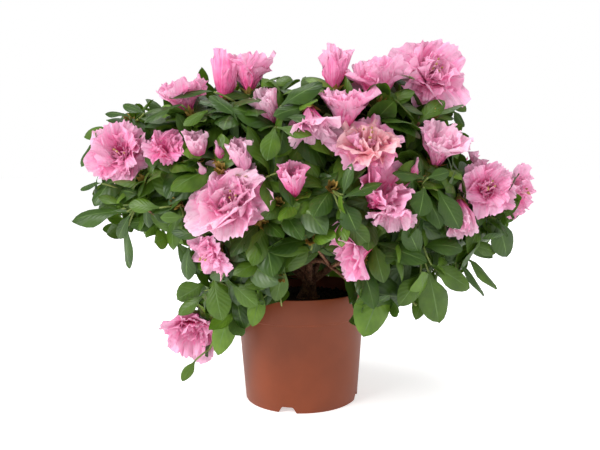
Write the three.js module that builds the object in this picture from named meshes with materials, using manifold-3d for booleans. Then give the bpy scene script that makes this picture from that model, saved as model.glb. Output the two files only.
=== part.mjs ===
// A flowering indoor azalea in its 12 cm nursery pot, in millimetres with +Z up.
//
// The origin is the centre of the pot's flat underside. +X runs along the widest spread of the crown,
// and the shrub's front faces -Y. Azimuths are in degrees round the pot's axis, measured from the
// front and growing towards +X. The crown is a low dome of shoots. Each mass is one twiggy branch with
// whorls of leaves at its shoot tips, most of them under a blossom. It grows on from its own bough.
import * as THREE from 'three';
import { mergeVertices } from 'three/addons/utils/BufferGeometryUtils.js';
import Module from 'manifold-3d';

// The pot.
const RIM_RADIUS = 60.6;
const RIM_HEIGHT = 101.4;
const FOOT_RADIUS = 51.8;
const BAND_HEIGHT = 78.5;
const BAND_STEP = 0.7;
const WALL = 1.7;
const FLOOR = 1.9;
const FOOT_RECESS = 5.5;
const FOOT_RING_WIDTH = 3.4;
const CENTRE_FOOT_RADIUS = 34;
const NOTCH_AZIMUTH = -14;
const NOTCH_COUNT = 4;
const NOTCH_FOOT_WIDTH = 16;
const NOTCH_TOP_WIDTH = 9;
const DRAIN_RADIUS = 3.5;
const POT_SIDES = 26;

// The potting soil, up to the foot of the trunk.
const SOIL_HEIGHT = 91;
const SOIL_CROWN = 1.6;
const GAP = 0.3;

// The trunk: a short stem with a flared foot, leaning a little to the right.
const TRUNK_X = 7;
const TRUNK_HEIGHT = 20;
const TRUNK_LEAN = 3;
const TRUNK_FOOT_RADIUS = 11;
const TRUNK_FORK_RADIUS = 5.4;
const FLARE_HEIGHT = 0.35;

// The boughs and twigs.
const BOUGH_RADIUS = 3.3;
const SIDE_BOUGH_RADIUS = 2.6;
const BOUGH_TIP_RADIUS = 2.2;
const HUB_RADIUS = 3.2;
const TWIG_INTO_BLOSSOM = 5;
const BOUGH_BEND = 0.13;
const SEAT_SHARE = 0.434;
const SEAT_SPACING = 0.13;
const STEM_LENGTH = 14;
const TWIG_STEPS = 2;
const TWIG_SPACING = 0.75;
const TWIG_BEND = 0.4;
const TWIG_RADIUS = 2.2;
const TWIG_TIP_RADIUS = 1.8;
const HUB_SHARE = 0.6;
const RIM_CLEARANCE = 15;

// The crown's dome, from the middle of its height up and down.
const CROWN_HALF_WIDTH = 205;
const CROWN_HALF_DEPTH = 150;
const CROWN_MIDDLE = 190;
const CROWN_RISE = 140;
const CROWN_DROP = 115;

// The leaves.
const LEAF_LENGTH = 47;
const LEAF_WIDTH = 0.5;
const LEAF_THICKNESS = 2.2;
const WHORL = 4;
const LEAF_SINK = 1;
const LEAF_CLEARANCE = 3.2;
const LEAF_ARCH = 0.36;
const LEAF_DROOP = 0.06;
const LEAF_SIZES = [1, 0.84, 0.68];
const LEAF_ANGLES = [78, 100, 58, 118, 40];
const WHORL_STEP = 2.6;
const LOW_LEAF_DEPTH = 17;
const SIDE_OFFSET = 22;

// The lobes round a blossom.
const LOBES = 5;
const CALYX_SINK = 3;
const BLOSSOM_SCALES = [1, 0.9, 0.8, 0.7, 0.6, 0.5];
const NOTCH_REACH = 0.78;
const NOTCH_SINK = 0.16;

// How far a mass keeps inside its own space, and clear of boughs.
const SPACE_MARGIN = 0.8;
const LIMB_MARGIN = 1.5;
const POT_MARGIN = 2;
const TWIG_MARGIN = 1.2;
const BLOSSOM_CLEARANCE = 4;

// Fused pieces are turned in steps until no two corners lie closer than this.
const CROWDED = 0.005;
const MOST_TURNS = 6;
const TURN_STEP = 0.31;

// What a shoot bears: the width and depth of its blossom and how far its face is turned up, in degrees.
const BLOSSOMS = {
  double: { width: 60, depth: 27, tilt: 5 },
  open: { width: 50, depth: 26, tilt: 10 },
  small: { width: 36, depth: 24, tilt: 10 },
  rising: { width: 44, depth: 34, tilt: 55 },
  hanging: { width: 44, depth: 34, tilt: -45 },
  half: { width: 27, depth: 34, tilt: 40 },
  bud: { width: 9, depth: 20, tilt: 30 },
};

// The masses in the order in which they grow: the bough or trunk that carries each, and its shoots.
// A shoot is its azimuth, its height and what it bears, with its reach where that isn't the dome's own.
const FRONT_MASSES = {
  far_left: ['trunk', [-52, 228, 'double'], [-55, 198, 'small'], [-56, 253, 'leafy'],
    [-59, 194, 'leafy', 180]],
  left_centre: ['trunk', [-19, 194, 'double'], [-29, 234, 'half'], [-16, 227, 'half'], [-22, 214, 'leafy'],
    [-10, 172, 'leafy'], [-34, 188, 'leafy']],
  centre: ['trunk', [-2, 211, 'half'], [4, 238, 'hanging'], [-6, 188, 'leafy'], [9, 200, 'leafy']],
  far_right: ['trunk', [53, 198, 'open'], [68, 190, 'open'], [57, 170, 'leafy'], [72, 158, 'leafy', 172]],
  lower_left: ['left_centre', [-28, 149, 'open'], [-18, 140, 'leafy'], [-26, 112, 'leafy', 118],
    [-7, 128, 'leafy']],
  lowest_left: ['far_left', [-57, 72, 'hanging', 110], [-52, 52, 'leafy', 100], [-40, 90, 'leafy', 110]],
  upper_left: ['far_left', [-40, 272, 'rising'], [-38, 232, 'small'], [-35, 256, 'leafy'],
    [-44, 205, 'leafy']],
  lower_centre: ['centre', [13, 152, 'hanging'], [19, 142, 'leafy'], [25, 100, 'leafy', 126],
    [3, 160, 'leafy']],
  centre_right: ['centre', [19, 234, 'double'], [15, 263, 'rising'], [23, 200, 'rising'],
    [25, 176, 'hanging']],
  right: ['far_right', [32, 217, 'bud'], [41, 234, 'rising'], [34, 200, 'leafy'], [38, 250, 'leafy']],
  lower_right: ['far_right', [38, 150, 'leafy'], [45, 170, 'half'], [54, 120, 'leafy', 158],
    [42, 98, 'leafy', 138]],
};
const TOP_MASSES = {
  top: ['trunk', [0, 262, 'leafy', 40], [90, 286, 'rising', 92], [-90, 280, 'leafy', 92],
    [180, 262, 'open', 36], [-132, 274, 'leafy', 78], [130, 276, 'leafy', 80], [-58, 286, 'leafy', 62]],
  top_left: ['top', [-28, 287, 'half'], [-20, 291, 'rising'], [-22, 267, 'leafy'], [-11, 262, 'half'],
    [-4, 258, 'leafy'], [-6, 246, 'leafy']],
  top_right: ['top', [18, 294, 'half'], [30, 284, 'rising'], [27, 262, 'leafy'], [13, 276, 'leafy']],
  top_far_right: ['far_right', [50, 284, 'double'], [44, 256, 'leafy'], [40, 290, 'leafy']],
};
// The rest of the crown carries on round the back: each mass's bough, azimuth, height, shoot count and
// share of the dome's reach.
const BACK_MASSES = {
  back: ['trunk', 158, 166, 4, 1],
  back_left: ['trunk', -150, 164, 4, 1],
  right_side: ['far_right', 96, 188, 4, 0.81],
  right_back: ['back', 120, 166, 4, 0.95],
  left_back: ['far_left', -110, 168, 4, 0.84],
  left_side: ['far_left', -95, 214, 4, 0.77],
  top_back_left: ['back_left', -132, 246, 4, 0.95],
  top_back_right: ['back', 130, 246, 4, 0.93],
  top_back: ['back', 180, 248, 4, 1],
};
const BACK_SHOOT_SPREAD = 31;
const BACK_BEARS = ['double', 'leafy', 'rising', 'leafy', 'open', 'leafy', 'half', 'hanging', 'bud'];

// How the front blossoms differ from what their kind and the dome give them, for the first shoots of a
// mass in turn: degrees turned to the right as seen from outside, degrees turned up, and size.
const TURNS = {
  far_left: [[4, -4, 1], [-20, -10, 0.8]],
  left_centre: [[-14, 16, 1.18], [10, 5, 0.66], [-5, 12, 0.75]],
  centre: [[-8, 12, 0.86], [20, -30, 0.95]],
  far_right: [[-40, 8, 0.9], [24, -10, 0.9]],
  lower_left: [[-25, -12, 0.84]],
  lowest_left: [[10, 22, 1.12]],
  upper_left: [[0, 10, 0.86], [34, 10, 0.8]],
  lower_centre: [[-62, 4, 0.9]],
  centre_right: [[-10, 26, 1.1], [4, 10, 1], [20, -18, 1], [-20, -10, 0.7]],
  right: [[0, 20, 1], [20, 4, 0.95]],
  lower_right: [[0, 0, 1], [-30, -95, 0.85]],
  top_left: [[-30, 34, 1], [-6, 24, 0.96], [0, 0, 1], [-40, 0, 0.8]],
  top_right: [[-10, 40, 0.95], [-10, 24, 1.1]],
  top_far_right: [[-20, -22, 1.14]],
};

// Colours.
const TERRACOTTA = 0x9c5a44;
const PEAT = 0x2b2019;
const BARK = 0x6b4a33;
const GREEN_TONES = [0x2f4a28, 0x3b5c2c, 0x466b2a];

const UP = new THREE.Vector3(0, 0, 1);
const GROUND = SOIL_HEIGHT + GAP;
const FORK = new THREE.Vector3(TRUNK_X + TRUNK_LEAN, 0, GROUND + TRUNK_HEIGHT);

const wasm = await Module();
wasm.setup();

// One repeatable draw from 0 to 1.
let seed = 4242;
function draw() {
  seed = (seed * 9301 + 49297) % 233280;
  return seed / 233280;
}

function between(low, high) {
  return low + (high - low) * draw();
}

// Closed three.js shapes become solids that can be joined and cut.
function toSolid(geometry) {
  const bare = geometry.clone();
  bare.deleteAttribute('normal');
  bare.deleteAttribute('uv');
  const merged = mergeVertices(bare, 1e-4);
  const corners = [];
  for (let i = 0; i < merged.index.count; i += 3) {
    const [a, b, c] = merged.index.array.slice(i, i + 3);
    if (a !== b && b !== c && c !== a) corners.push(a, b, c);
  }
  const vertProperties = new Float32Array(merged.attributes.position.array);
  const triVerts = new Uint32Array(corners);
  return new wasm.Manifold(new wasm.Mesh({ numProp: 3, vertProperties, triVerts }));
}

// Whether two corners of a solid lie so close together that a file would merge them.
function hasCrowdedCorners(solid) {
  const { vertProperties } = solid.getMesh();
  const corners = Array.from(
    { length: vertProperties.length / 3 },
    (_, i) => new THREE.Vector3().fromArray(vertProperties, 3 * i),
  );
  corners.sort((a, b) => a.x - b.x);
  return corners.some((corner, i) => {
    for (let j = i + 1; j < corners.length && corners[j].x - corner.x < CROWDED; j += 1) {
      if (corners[j].distanceTo(corner) < CROWDED) return true;
    }
    return false;
  });
}

// A solid's main shell as a geometry: loose scraps are dropped and sealed hollows are filled.
function toGeometry(solid) {
  const { vertProperties, triVerts } = solid.getMesh();
  const parent = Array.from({ length: vertProperties.length / 3 }, (_, i) => i);
  const find = (i) => {
    let top = i;
    while (parent[top] !== top) top = parent[top];
    parent[i] = top;
    return top;
  };
  for (let i = 0; i < triVerts.length; i += 3) {
    parent[find(triVerts[i])] = find(triVerts[i + 1]);
    parent[find(triVerts[i + 1])] = find(triVerts[i + 2]);
  }
  const corner = (i) => new THREE.Vector3().fromArray(vertProperties, 3 * triVerts[i]);
  const shells = new Map();
  for (let i = 0; i < triVerts.length; i += 3) {
    const shell = find(triVerts[i]);
    if (!shells.has(shell)) shells.set(shell, { volume: 0, triangles: [] });
    const entry = shells.get(shell);
    entry.volume += corner(i).dot(corner(i + 1).cross(corner(i + 2)));
    entry.triangles.push(triVerts[i], triVerts[i + 1], triVerts[i + 2]);
  }
  const main = [...shells.values()].sort((a, b) => b.volume - a.volume)[0];
  const geometry = new THREE.BufferGeometry();
  geometry.setAttribute('position', new THREE.BufferAttribute(new Float32Array(vertProperties), 3));
  geometry.setIndex(main.triangles);
  geometry.computeVertexNormals();
  return geometry;
}

const group = new THREE.Group();

function addNode(name, solid, color, roughness, notes = {}) {
  const material = new THREE.MeshStandardMaterial({ color, roughness, metalness: 0 });
  const mesh = new THREE.Mesh(toGeometry(solid), material);
  mesh.name = name;
  mesh.userData = notes;
  group.add(mesh);
}

// The direction at an azimuth, level with the ground.
function heading(azimuth) {
  const angle = THREE.MathUtils.degToRad(azimuth);
  return new THREE.Vector3(Math.sin(angle), -Math.cos(angle), 0);
}

// A shape turned about the pot's axis from a profile of radius and height pairs.
function turned(profile) {
  const points = profile.map(([radius, height]) => new THREE.Vector2(radius, height));
  const geometry = new THREE.LatheGeometry(points, POT_SIDES);
  geometry.rotateX(Math.PI / 2);
  return toSolid(geometry);
}

// The pot's outer radius at a height, on its straight taper from foot to rim.
function potRadius(height) {
  return THREE.MathUtils.lerp(FOOT_RADIUS, RIM_RADIUS, height / RIM_HEIGHT);
}

// The pot's floor is raised in a ring between its foot and its middle, so that water can run out.
const FLOOR_TOP = FOOT_RECESS + FLOOR;
const RING_INNER = FOOT_RADIUS - FOOT_RING_WIDTH;

function makePot() {
  const edge = 0.8;
  const wallInside = (height) => potRadius(height) - BAND_STEP - WALL;
  const shell = turned([
    [0, 0],
    [CENTRE_FOOT_RADIUS, 0],
    [CENTRE_FOOT_RADIUS + 2, FOOT_RECESS],
    [RING_INNER - 0.8, FOOT_RECESS],
    [RING_INNER, 0],
    [FOOT_RADIUS - edge, 0],
    [FOOT_RADIUS, edge],
    [potRadius(BAND_HEIGHT) - BAND_STEP, BAND_HEIGHT],
    [potRadius(BAND_HEIGHT), BAND_HEIGHT + BAND_STEP],
    [RIM_RADIUS, RIM_HEIGHT],
    [RIM_RADIUS - WALL, RIM_HEIGHT],
    [wallInside(FLOOR_TOP), FLOOR_TOP],
    [CENTRE_FOOT_RADIUS + 2 - FLOOR, FLOOR_TOP],
    [CENTRE_FOOT_RADIUS - FLOOR, FLOOR],
    [0, FLOOR],
  ]);
  let pot = shell;
  const notch = new THREE.Shape([
    new THREE.Vector2(-NOTCH_FOOT_WIDTH / 2, -1),
    new THREE.Vector2(NOTCH_FOOT_WIDTH / 2, -1),
    new THREE.Vector2(NOTCH_TOP_WIDTH / 2, FOOT_RECESS),
    new THREE.Vector2(-NOTCH_TOP_WIDTH / 2, FOOT_RECESS),
  ]);
  for (let i = 0; i < NOTCH_COUNT; i += 1) {
    const azimuth = THREE.MathUtils.degToRad(NOTCH_AZIMUTH + (i * 360) / NOTCH_COUNT);
    const cut = new THREE.ExtrudeGeometry(notch, { depth: 12, bevelEnabled: false });
    cut.rotateX(Math.PI / 2);
    cut.translate(0, -RING_INNER + 6, 0);
    cut.rotateZ(azimuth);
    const drain = new THREE.CylinderGeometry(DRAIN_RADIUS, DRAIN_RADIUS, 3 * FLOOR, 8);
    drain.rotateX(Math.PI / 2);
    drain.translate(0, -(CENTRE_FOOT_RADIUS + RING_INNER) / 2, FOOT_RECESS + FLOOR / 2);
    drain.rotateZ(azimuth);
    pot = pot.subtract(toSolid(cut)).subtract(toSolid(drain));
  }
  addNode('pot', pot, TERRACOTTA, 0.6);
}

function makeSoil() {
  const side = (height) => potRadius(height) - BAND_STEP - WALL - GAP;
  const soil = turned([
    [0, FLOOR + GAP],
    [CENTRE_FOOT_RADIUS - FLOOR - GAP, FLOOR + GAP],
    [CENTRE_FOOT_RADIUS + 2 - FLOOR, FLOOR_TOP + GAP],
    [side(FLOOR_TOP), FLOOR_TOP + GAP],
    [side(SOIL_HEIGHT), SOIL_HEIGHT - SOIL_CROWN],
    [0.55 * side(SOIL_HEIGHT), SOIL_HEIGHT],
    [0, SOIL_HEIGHT],
  ]);
  addNode('soil', soil, PEAT, 0.95);
}

// A limb is a cylinder bent along a curve, its radius worked out at each share of the way along it.
// A margin makes it fatter and longer all round, to cut a clear seat for it.
function bentLimb(limb, margin = 0) {
  const { curve, radiusAt, sides, steps } = limb;
  const geometry = new THREE.CylinderGeometry(1, 1, 1, sides, steps);
  geometry.rotateY(limb.spin ?? 0);
  const frames = curve.computeFrenetFrames(steps, false);
  const position = geometry.attributes.position;
  for (let i = 0; i < position.count; i += 1) {
    const step = Math.round((position.getY(i) + 0.5) * steps);
    const radius = radiusAt(step / steps) + margin;
    const point = curve.getPointAt(step / steps);
    const tangent = frames.tangents[step];
    if (step === 0) point.addScaledVector(tangent, -margin);
    if (step === steps) point.addScaledVector(tangent, margin);
    point.addScaledVector(frames.normals[step], position.getX(i) * radius);
    point.addScaledVector(frames.binormals[step], -position.getZ(i) * radius);
    position.setXYZ(i, point.x, point.y, point.z);
  }
  return toSolid(geometry);
}

function taper(start, end) {
  return (share) => THREE.MathUtils.lerp(start, end, share);
}

const limbs = [];

// Each limb keeps a list of points along its axis, for the tests of what comes near it.
function addLimb(name, curve, radiusAt, sides, steps) {
  const limb = { name, curve, radiusAt, sides, steps };
  const count = Math.ceil(curve.getLength() / 3);
  limb.axis = curve.getSpacedPoints(count).map((point, i) => ({ point, radius: radiusAt(i / count) }));
  let solid = bentLimb(limb);
  for (const other of limbs) {
    solid = solid.subtract(bentLimb(other, GAP));
  }
  limbs.push(limb);
  addNode(name, solid, BARK, 0.85);
  return limb;
}

function makeTrunk() {
  const foot = new THREE.Vector3(TRUNK_X, 0, GROUND);
  const above = foot.clone().addScaledVector(UP, TRUNK_HEIGHT / 2);
  const flare = TRUNK_FOOT_RADIUS - TRUNK_FORK_RADIUS;
  const radiusAt = (share) => TRUNK_FORK_RADIUS + flare * Math.exp(-share / FLARE_HEIGHT) - share * 0.3;
  return addLimb('trunk', new THREE.QuadraticBezierCurve3(foot, above, FORK), radiusAt, 10, 5);
}

// How far from the pot's axis the crown's dome stands.
function domeReach(azimuth, height) {
  const direction = heading(azimuth);
  const half = height > CROWN_MIDDLE ? CROWN_RISE : CROWN_DROP;
  const share = Math.min((height - CROWN_MIDDLE) / half, 0.98);
  const across = Math.hypot(direction.x / CROWN_HALF_WIDTH, direction.y / CROWN_HALF_DEPTH);
  return Math.sqrt(Math.max(0, 1 - share * share)) / across;
}

// The point on the dome at an azimuth and height, and the way that the dome faces there.
function crownPoint(azimuth, height, reach) {
  return heading(azimuth).multiplyScalar(reach ?? domeReach(azimuth, height)).setZ(height);
}

function crownNormal(point) {
  const half = point.z > CROWN_MIDDLE ? CROWN_RISE : CROWN_DROP;
  const rise = (point.z - CROWN_MIDDLE) / (half * half);
  const [across, deep] = [point.x / CROWN_HALF_WIDTH ** 2, point.y / CROWN_HALF_DEPTH ** 2];
  return new THREE.Vector3(across, deep, rise).normalize();
}

// A shoot ends in a calyx under its blossom, or in a bare whorl of leaves.
function makeShoot(azimuth, height, bears, reach, [right, up, size] = [0, 0, 1]) {
  const centre = crownPoint(azimuth, height, reach);
  const normal = crownNormal(centre);
  if (!BLOSSOMS[bears]) {
    const tip = centre.clone().addScaledVector(normal, -9);
    return { centre, tip, face: normal.lerp(UP, 0.3).normalize(), space: 20 };
  }
  const { width, depth, tilt } = BLOSSOMS[bears];
  const blossom = { bears, width: width * size, depth: depth * size };
  const raised = THREE.MathUtils.degToRad(tilt);
  const face = normal.multiplyScalar(Math.cos(raised)).addScaledVector(UP, Math.sin(raised)).normalize();
  const rise = Math.asin(face.z) + THREE.MathUtils.degToRad(up);
  face.setZ(0).normalize().applyAxisAngle(UP, THREE.MathUtils.degToRad(right));
  face.multiplyScalar(Math.cos(rise)).addScaledVector(UP, Math.sin(rise));
  const tip = centre.clone().addScaledVector(face, -0.7 * blossom.depth);
  return { centre, tip, face, blossom, space: 0.42 * blossom.width };
}

// The back masses' shoots stand evenly round the middle of their mass, and bear what comes next.
let nextBears = 0;
function backShoots(azimuth, height, count, share) {
  const turn = between(0, 2 * Math.PI);
  const degrees = THREE.MathUtils.radToDeg(BACK_SHOOT_SPREAD / (share * domeReach(azimuth, height)));
  return Array.from({ length: count }, (_, i) => {
    const angle = turn + (i * 2 * Math.PI) / count;
    const bears = BACK_BEARS[nextBears % BACK_BEARS.length];
    nextBears += 1;
    const aside = azimuth + degrees * Math.cos(angle);
    const rise = height + BACK_SHOOT_SPREAD * Math.sin(angle);
    return makeShoot(aside, rise, bears, share * domeReach(aside, rise));
  });
}

function average(points) {
  const sum = points.reduce((total, point) => total.add(point), new THREE.Vector3());
  return sum.divideScalar(points.length);
}

const masses = [];

// Lays out a mass: its bough, the stem that carries on from it, and the hub where its shoots part.
function layOut(name, parentName, shoots) {
  const limbName = parentName === 'trunk' ? 'trunk' : `bough_${parentName}`;
  const parent = limbs.find((limb) => limb.name === limbName);
  const middle = average(shoots.map((shoot) => shoot.tip));
  const fromTrunk = parent.name === 'trunk';
  const hub = FORK.clone().lerp(middle, HUB_SHARE);
  hub.z = Math.max(hub.z, RIM_HEIGHT + RIM_CLEARANCE);
  const start = parent.curve.getPointAt(fromTrunk ? seatOnTrunk() : seatOnBough(parent, hub));
  const reach = hub.distanceTo(start);
  const bend = start.clone().lerp(hub, 0.5).addScaledVector(UP, BOUGH_BEND * reach);
  const along = hub.clone().sub(bend).normalize();
  const boughTip = hub.clone().addScaledVector(along, -STEM_LENGTH);
  const curve = new THREE.QuadraticBezierCurve3(start, bend, boughTip);
  const base = fromTrunk ? BOUGH_RADIUS : SIDE_BOUGH_RADIUS;
  const steps = Math.max(3, Math.round(reach / 26));
  addLimb(`bough_${name}`, curve, taper(base, BOUGH_TIP_RADIUS), fromTrunk ? 6 : 5, steps);
  masses.push({ name, hub, along, boughTip, shoots });
}

// Boughs leave the trunk one above the other, and side boughs leave theirs further and further out.
let trunkSeats = 0;
function seatOnTrunk() {
  trunkSeats += 1;
  return 0.42 + 0.5 * ((trunkSeats * 0.382) % 1);
}

function seatOnBough(parent, hub) {
  parent.seats = (parent.seats ?? 0) + 1;
  const reach = hub.distanceTo(parent.curve.getPointAt(0)) / parent.curve.getLength();
  const first = THREE.MathUtils.clamp(SEAT_SHARE * reach, 0.3, 0.5);
  return first + SEAT_SPACING * (parent.seats - 1);
}

// The spaces: a place belongs to the mass whose shoot or hub lies nearest, less the room that it needs.
function spaceAround(mass) {
  const sites = mass.shoots.map((shoot) => ({ point: shoot.centre, room: shoot.space }));
  sites.push({ point: mass.hub, room: 8 });
  return sites.concat(mass.shoots.map((shoot) => ({ point: shoot.tip, room: 8 })));
}

function staysInside(mass, point, margin) {
  const power = (site) => site.point.distanceToSquared(point) - site.room ** 2;
  const own = mass.sites.reduce((best, site) => (power(site) < power(best) ? site : best));
  return masses.every((other) => other === mass || other.sites.every((site) => {
    const apart = site.point.distanceTo(own.point);
    return power(site) - power(own) > 2 * apart * margin;
  }));
}

function clearOfLimbs(point, margin) {
  return limbs.every((limb) => limb.axis.every(
    (place) => place.point.distanceTo(point) > place.radius + margin,
  ));
}

function clearOfPot(point, margin) {
  const radius = Math.hypot(point.x, point.y);
  if (point.z < 2) return false;
  return point.z > RIM_HEIGHT + margin || radius > potRadius(point.z) + margin;
}

// A leaf also keeps off its own mass's blossoms, twigs and earlier leaves, so that few faces cross.
function clearOfOthers(mass, point) {
  return mass.taken.every((place) => place.point.distanceTo(point) > place.room);
}

// A blossom is a cup of five frilled lobes that flares from its calyx and is full in the middle. Its
// throat and its middle have one corner to each lobe, and its rim has two.
function blossomSolid(shoot, scale, spin) {
  if (shoot.blossom.bears === 'bud') return budSolid(shoot, spin);
  const radius = 0.5 * shoot.blossom.width * scale;
  const depth = shoot.blossom.depth * scale;
  const throat = (shoot.blossom.width < 1.2 * shoot.blossom.depth ? 0.62 : 0.3) * radius;
  const profile = [
    [0, -CALYX_SINK],
    [throat, 0.45 * depth],
    [radius, depth],
    [0.5 * radius, 0.7 * depth],
    [0, 0.85 * depth],
  ];
  const corners = profile.map(([across, height]) => new THREE.Vector2(across, height));
  const geometry = new THREE.LatheGeometry(corners, 2 * LOBES);
  const position = geometry.attributes.position;
  for (let i = 0; i < position.count; i += 1) {
    const spoke = Math.floor(i / profile.length) % (2 * LOBES);
    const [across, height] = profile[i % profile.length];
    const isNotch = spoke % 2 === 1;
    const onRim = across === radius;
    const angle = (Math.PI / LOBES) * (isNotch && !onRim ? spoke - 1 : spoke);
    const lobeReach = 1 - 0.06 * (spoke % 3);
    const frill = onRim ? (isNotch ? NOTCH_REACH : lobeReach) : 1;
    const sink = onRim && isNotch ? NOTCH_SINK * depth : 0;
    position.setXYZ(i, Math.sin(angle) * across * frill, height - sink, Math.cos(angle) * across * frill);
  }
  geometry.rotateY(spin);
  return place(geometry, shoot.face, shoot.tip);
}

function budSolid(shoot, spin) {
  const { width, depth } = shoot.blossom;
  const geometry = new THREE.OctahedronGeometry(1, 0);
  geometry.scale(width / 2, depth / 2, width / 2);
  geometry.translate(0, depth / 2 - CALYX_SINK, 0);
  geometry.rotateY(spin);
  return place(geometry, shoot.face, shoot.tip);
}

function place(geometry, face, at) {
  geometry.applyQuaternion(new THREE.Quaternion().setFromUnitVectors(new THREE.Vector3(0, 1, 0), face));
  geometry.translate(at.x, at.y, at.z);
  return toSolid(geometry);
}

// Places on rings round a blossom's cup, from its throat to its rim.
function blossomPlaces(shoot, scale) {
  const radius = 0.5 * shoot.blossom.width * scale;
  const depth = shoot.blossom.depth * scale;
  const side = new THREE.Vector3().crossVectors(shoot.face, UP).normalize();
  const places = [];
  for (const share of [0.35, 0.7, 1]) {
    const centre = shoot.tip.clone().addScaledVector(shoot.face, depth * (0.25 + 0.75 * share));
    for (let i = 0; i < 16; i += 1) {
      const spoke = side.clone().applyAxisAngle(shoot.face, (i * Math.PI) / 8);
      places.push(centre.clone().addScaledVector(spoke, radius * share));
    }
  }
  return places;
}

function blossomFits(mass, shoot, scale) {
  return blossomPlaces(shoot, scale).every((point) => staysInside(mass, point, SPACE_MARGIN)
    && clearOfLimbs(point, LIMB_MARGIN) && clearOfPot(point, POT_MARGIN));
}

// A leaf is an eight-faced lens, broadest past its middle, with an arched rib and a drooping tip.
function makeLeaf(root, direction, upper, length) {
  const across = new THREE.Vector3().crossVectors(upper, direction).normalize();
  const normal = new THREE.Vector3().crossVectors(direction, across).normalize();
  const geometry = new THREE.OctahedronGeometry(1, 0);
  const position = geometry.attributes.position;
  for (let i = 0; i < position.count; i += 1) {
    const [x, y, z] = [position.getX(i), position.getY(i), position.getZ(i)];
    const along = (x + 1) / 2 + 0.07 * Math.abs(y);
    const lift = leafLift(along, length) + (z * LEAF_THICKNESS) / 2;
    const point = root.clone().addScaledVector(direction, length * along - LEAF_SINK);
    point.addScaledVector(across, (y * length * LEAF_WIDTH) / 2).addScaledVector(normal, lift);
    position.setXYZ(i, point.x, point.y, point.z);
  }
  return { geometry, places: leafPlaces(root, direction, across, normal, length) };
}

// Places spread evenly over a leaf's blade, to test where it goes, from a little way out of the twig.
function leafPlaces(root, direction, across, normal, length) {
  const places = [];
  for (const along of [0.2, 0.35, 0.5, 0.65, 0.8, 1]) {
    const half = (along < 0.57 ? along / 0.57 : (1 - along) / 0.43) * length * LEAF_WIDTH * 0.5;
    const lift = leafLift(along, length);
    for (const side of along === 1 ? [0] : [-1, -0.5, 0, 0.5, 1]) {
      const point = root.clone().addScaledVector(direction, length * along - LEAF_SINK);
      places.push(point.addScaledVector(across, side * half).addScaledVector(normal, lift));
    }
  }
  return places;
}

// How far a leaf's rib stands above the line from its root: it arches, then its tip droops.
function leafLift(along, length) {
  return length * (LEAF_ARCH * along * (1 - along) - LEAF_DROOP * along * along);
}

function leafFits(mass, leaf) {
  return leaf.places.every((point) => staysInside(mass, point, SPACE_MARGIN)
    && clearOfLimbs(point, LIMB_MARGIN) && clearOfPot(point, POT_MARGIN) && clearOfOthers(mass, point));
}

// A leaf that would leave the space is turned up or down or made shorter, and is skipped if it still does.
function growLeaf(mass, root, spoke, axis, length) {
  for (const size of LEAF_SIZES) {
    for (const open of LEAF_ANGLES) {
      const angle = THREE.MathUtils.degToRad(open);
      const direction = axis.clone().multiplyScalar(Math.cos(angle)).addScaledVector(spoke, Math.sin(angle));
      const leaf = makeLeaf(root, direction.normalize(), axis, length * size);
      if (leafFits(mass, leaf)) {
        mass.taken.push(...leaf.places.map((point) => ({ point, room: LEAF_CLEARANCE })));
        return toSolid(leaf.geometry);
      }
    }
  }
  return null;
}

// Each shoot grows on a three-sided twig that leaves the stem and bends towards the way its tip faces.
// The shoots that turn most away from the stem leave it first.
function addTwigs(mass) {
  const turnedAway = (shoot) => shoot.tip.clone().sub(mass.hub).angleTo(mass.along);
  const inOrder = [...mass.shoots].sort((a, b) => turnedAway(a) - turnedAway(b));
  inOrder.forEach((shoot, i) => {
    const behind = 1 + (TWIG_SPACING * STEM_LENGTH * i) / inOrder.length;
    const start = mass.hub.clone().addScaledVector(mass.along, -behind);
    const bend = shoot.tip.clone().addScaledVector(shoot.face, -TWIG_BEND * start.distanceTo(shoot.tip));
    shoot.end = shoot.tip.clone().addScaledVector(shoot.face, shoot.blossom ? TWIG_INTO_BLOSSOM : 0);
    const curve = new THREE.QuadraticBezierCurve3(start, bend.lerp(mass.hub, 0.25), shoot.end);
    shoot.twig = { curve, radiusAt: taper(TWIG_RADIUS, TWIG_TIP_RADIUS), sides: 3, steps: TWIG_STEPS };
    for (const point of curve.getSpacedPoints(Math.ceil(curve.getLength() / 4))) {
      mass.taken.push({ point, room: TWIG_RADIUS + TWIG_MARGIN });
    }
  });
}

// One shoot's leaves, a whorl at its tip and one lower down. They leave the twig's last straight piece
// in turn from its three sides, a little left and a little right of the middle of the side.
function growLeaves(mass, shoot) {
  const { curve } = shoot.twig;
  const bent = curve.getPointAt(1 - 1 / TWIG_STEPS);
  const axis = shoot.end.clone().sub(bent);
  const piece = axis.length();
  axis.normalize();
  const frames = curve.computeFrenetFrames(TWIG_STEPS, false);
  const count = WHORL + 1;
  const solids = [];
  for (let i = 0; i < count; i += 1) {
    const back = i < WHORL ? WHORL_STEP * (i + 1) : LOW_LEAF_DEPTH * (i - WHORL + 1);
    const inBlossom = shoot.blossom ? TWIG_INTO_BLOSSOM : 0;
    const root = shoot.end.clone().addScaledVector(axis, -Math.min(back + inBlossom, 0.85 * piece));
    const side = 60 + 120 * i + (Math.floor(i / 3) % 2 === 0 ? -SIDE_OFFSET : SIDE_OFFSET);
    const angle = THREE.MathUtils.degToRad(side) + shoot.twig.spin;
    const spoke = frames.normals[TWIG_STEPS].clone().multiplyScalar(Math.sin(angle));
    spoke.addScaledVector(frames.binormals[TWIG_STEPS], -Math.cos(angle));
    const length = LEAF_LENGTH * between(0.82, 1.16);
    const leaf = growLeaf(mass, root, spoke, axis, length);
    if (leaf) solids.push(leaf);
  }
  return solids;
}

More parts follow.
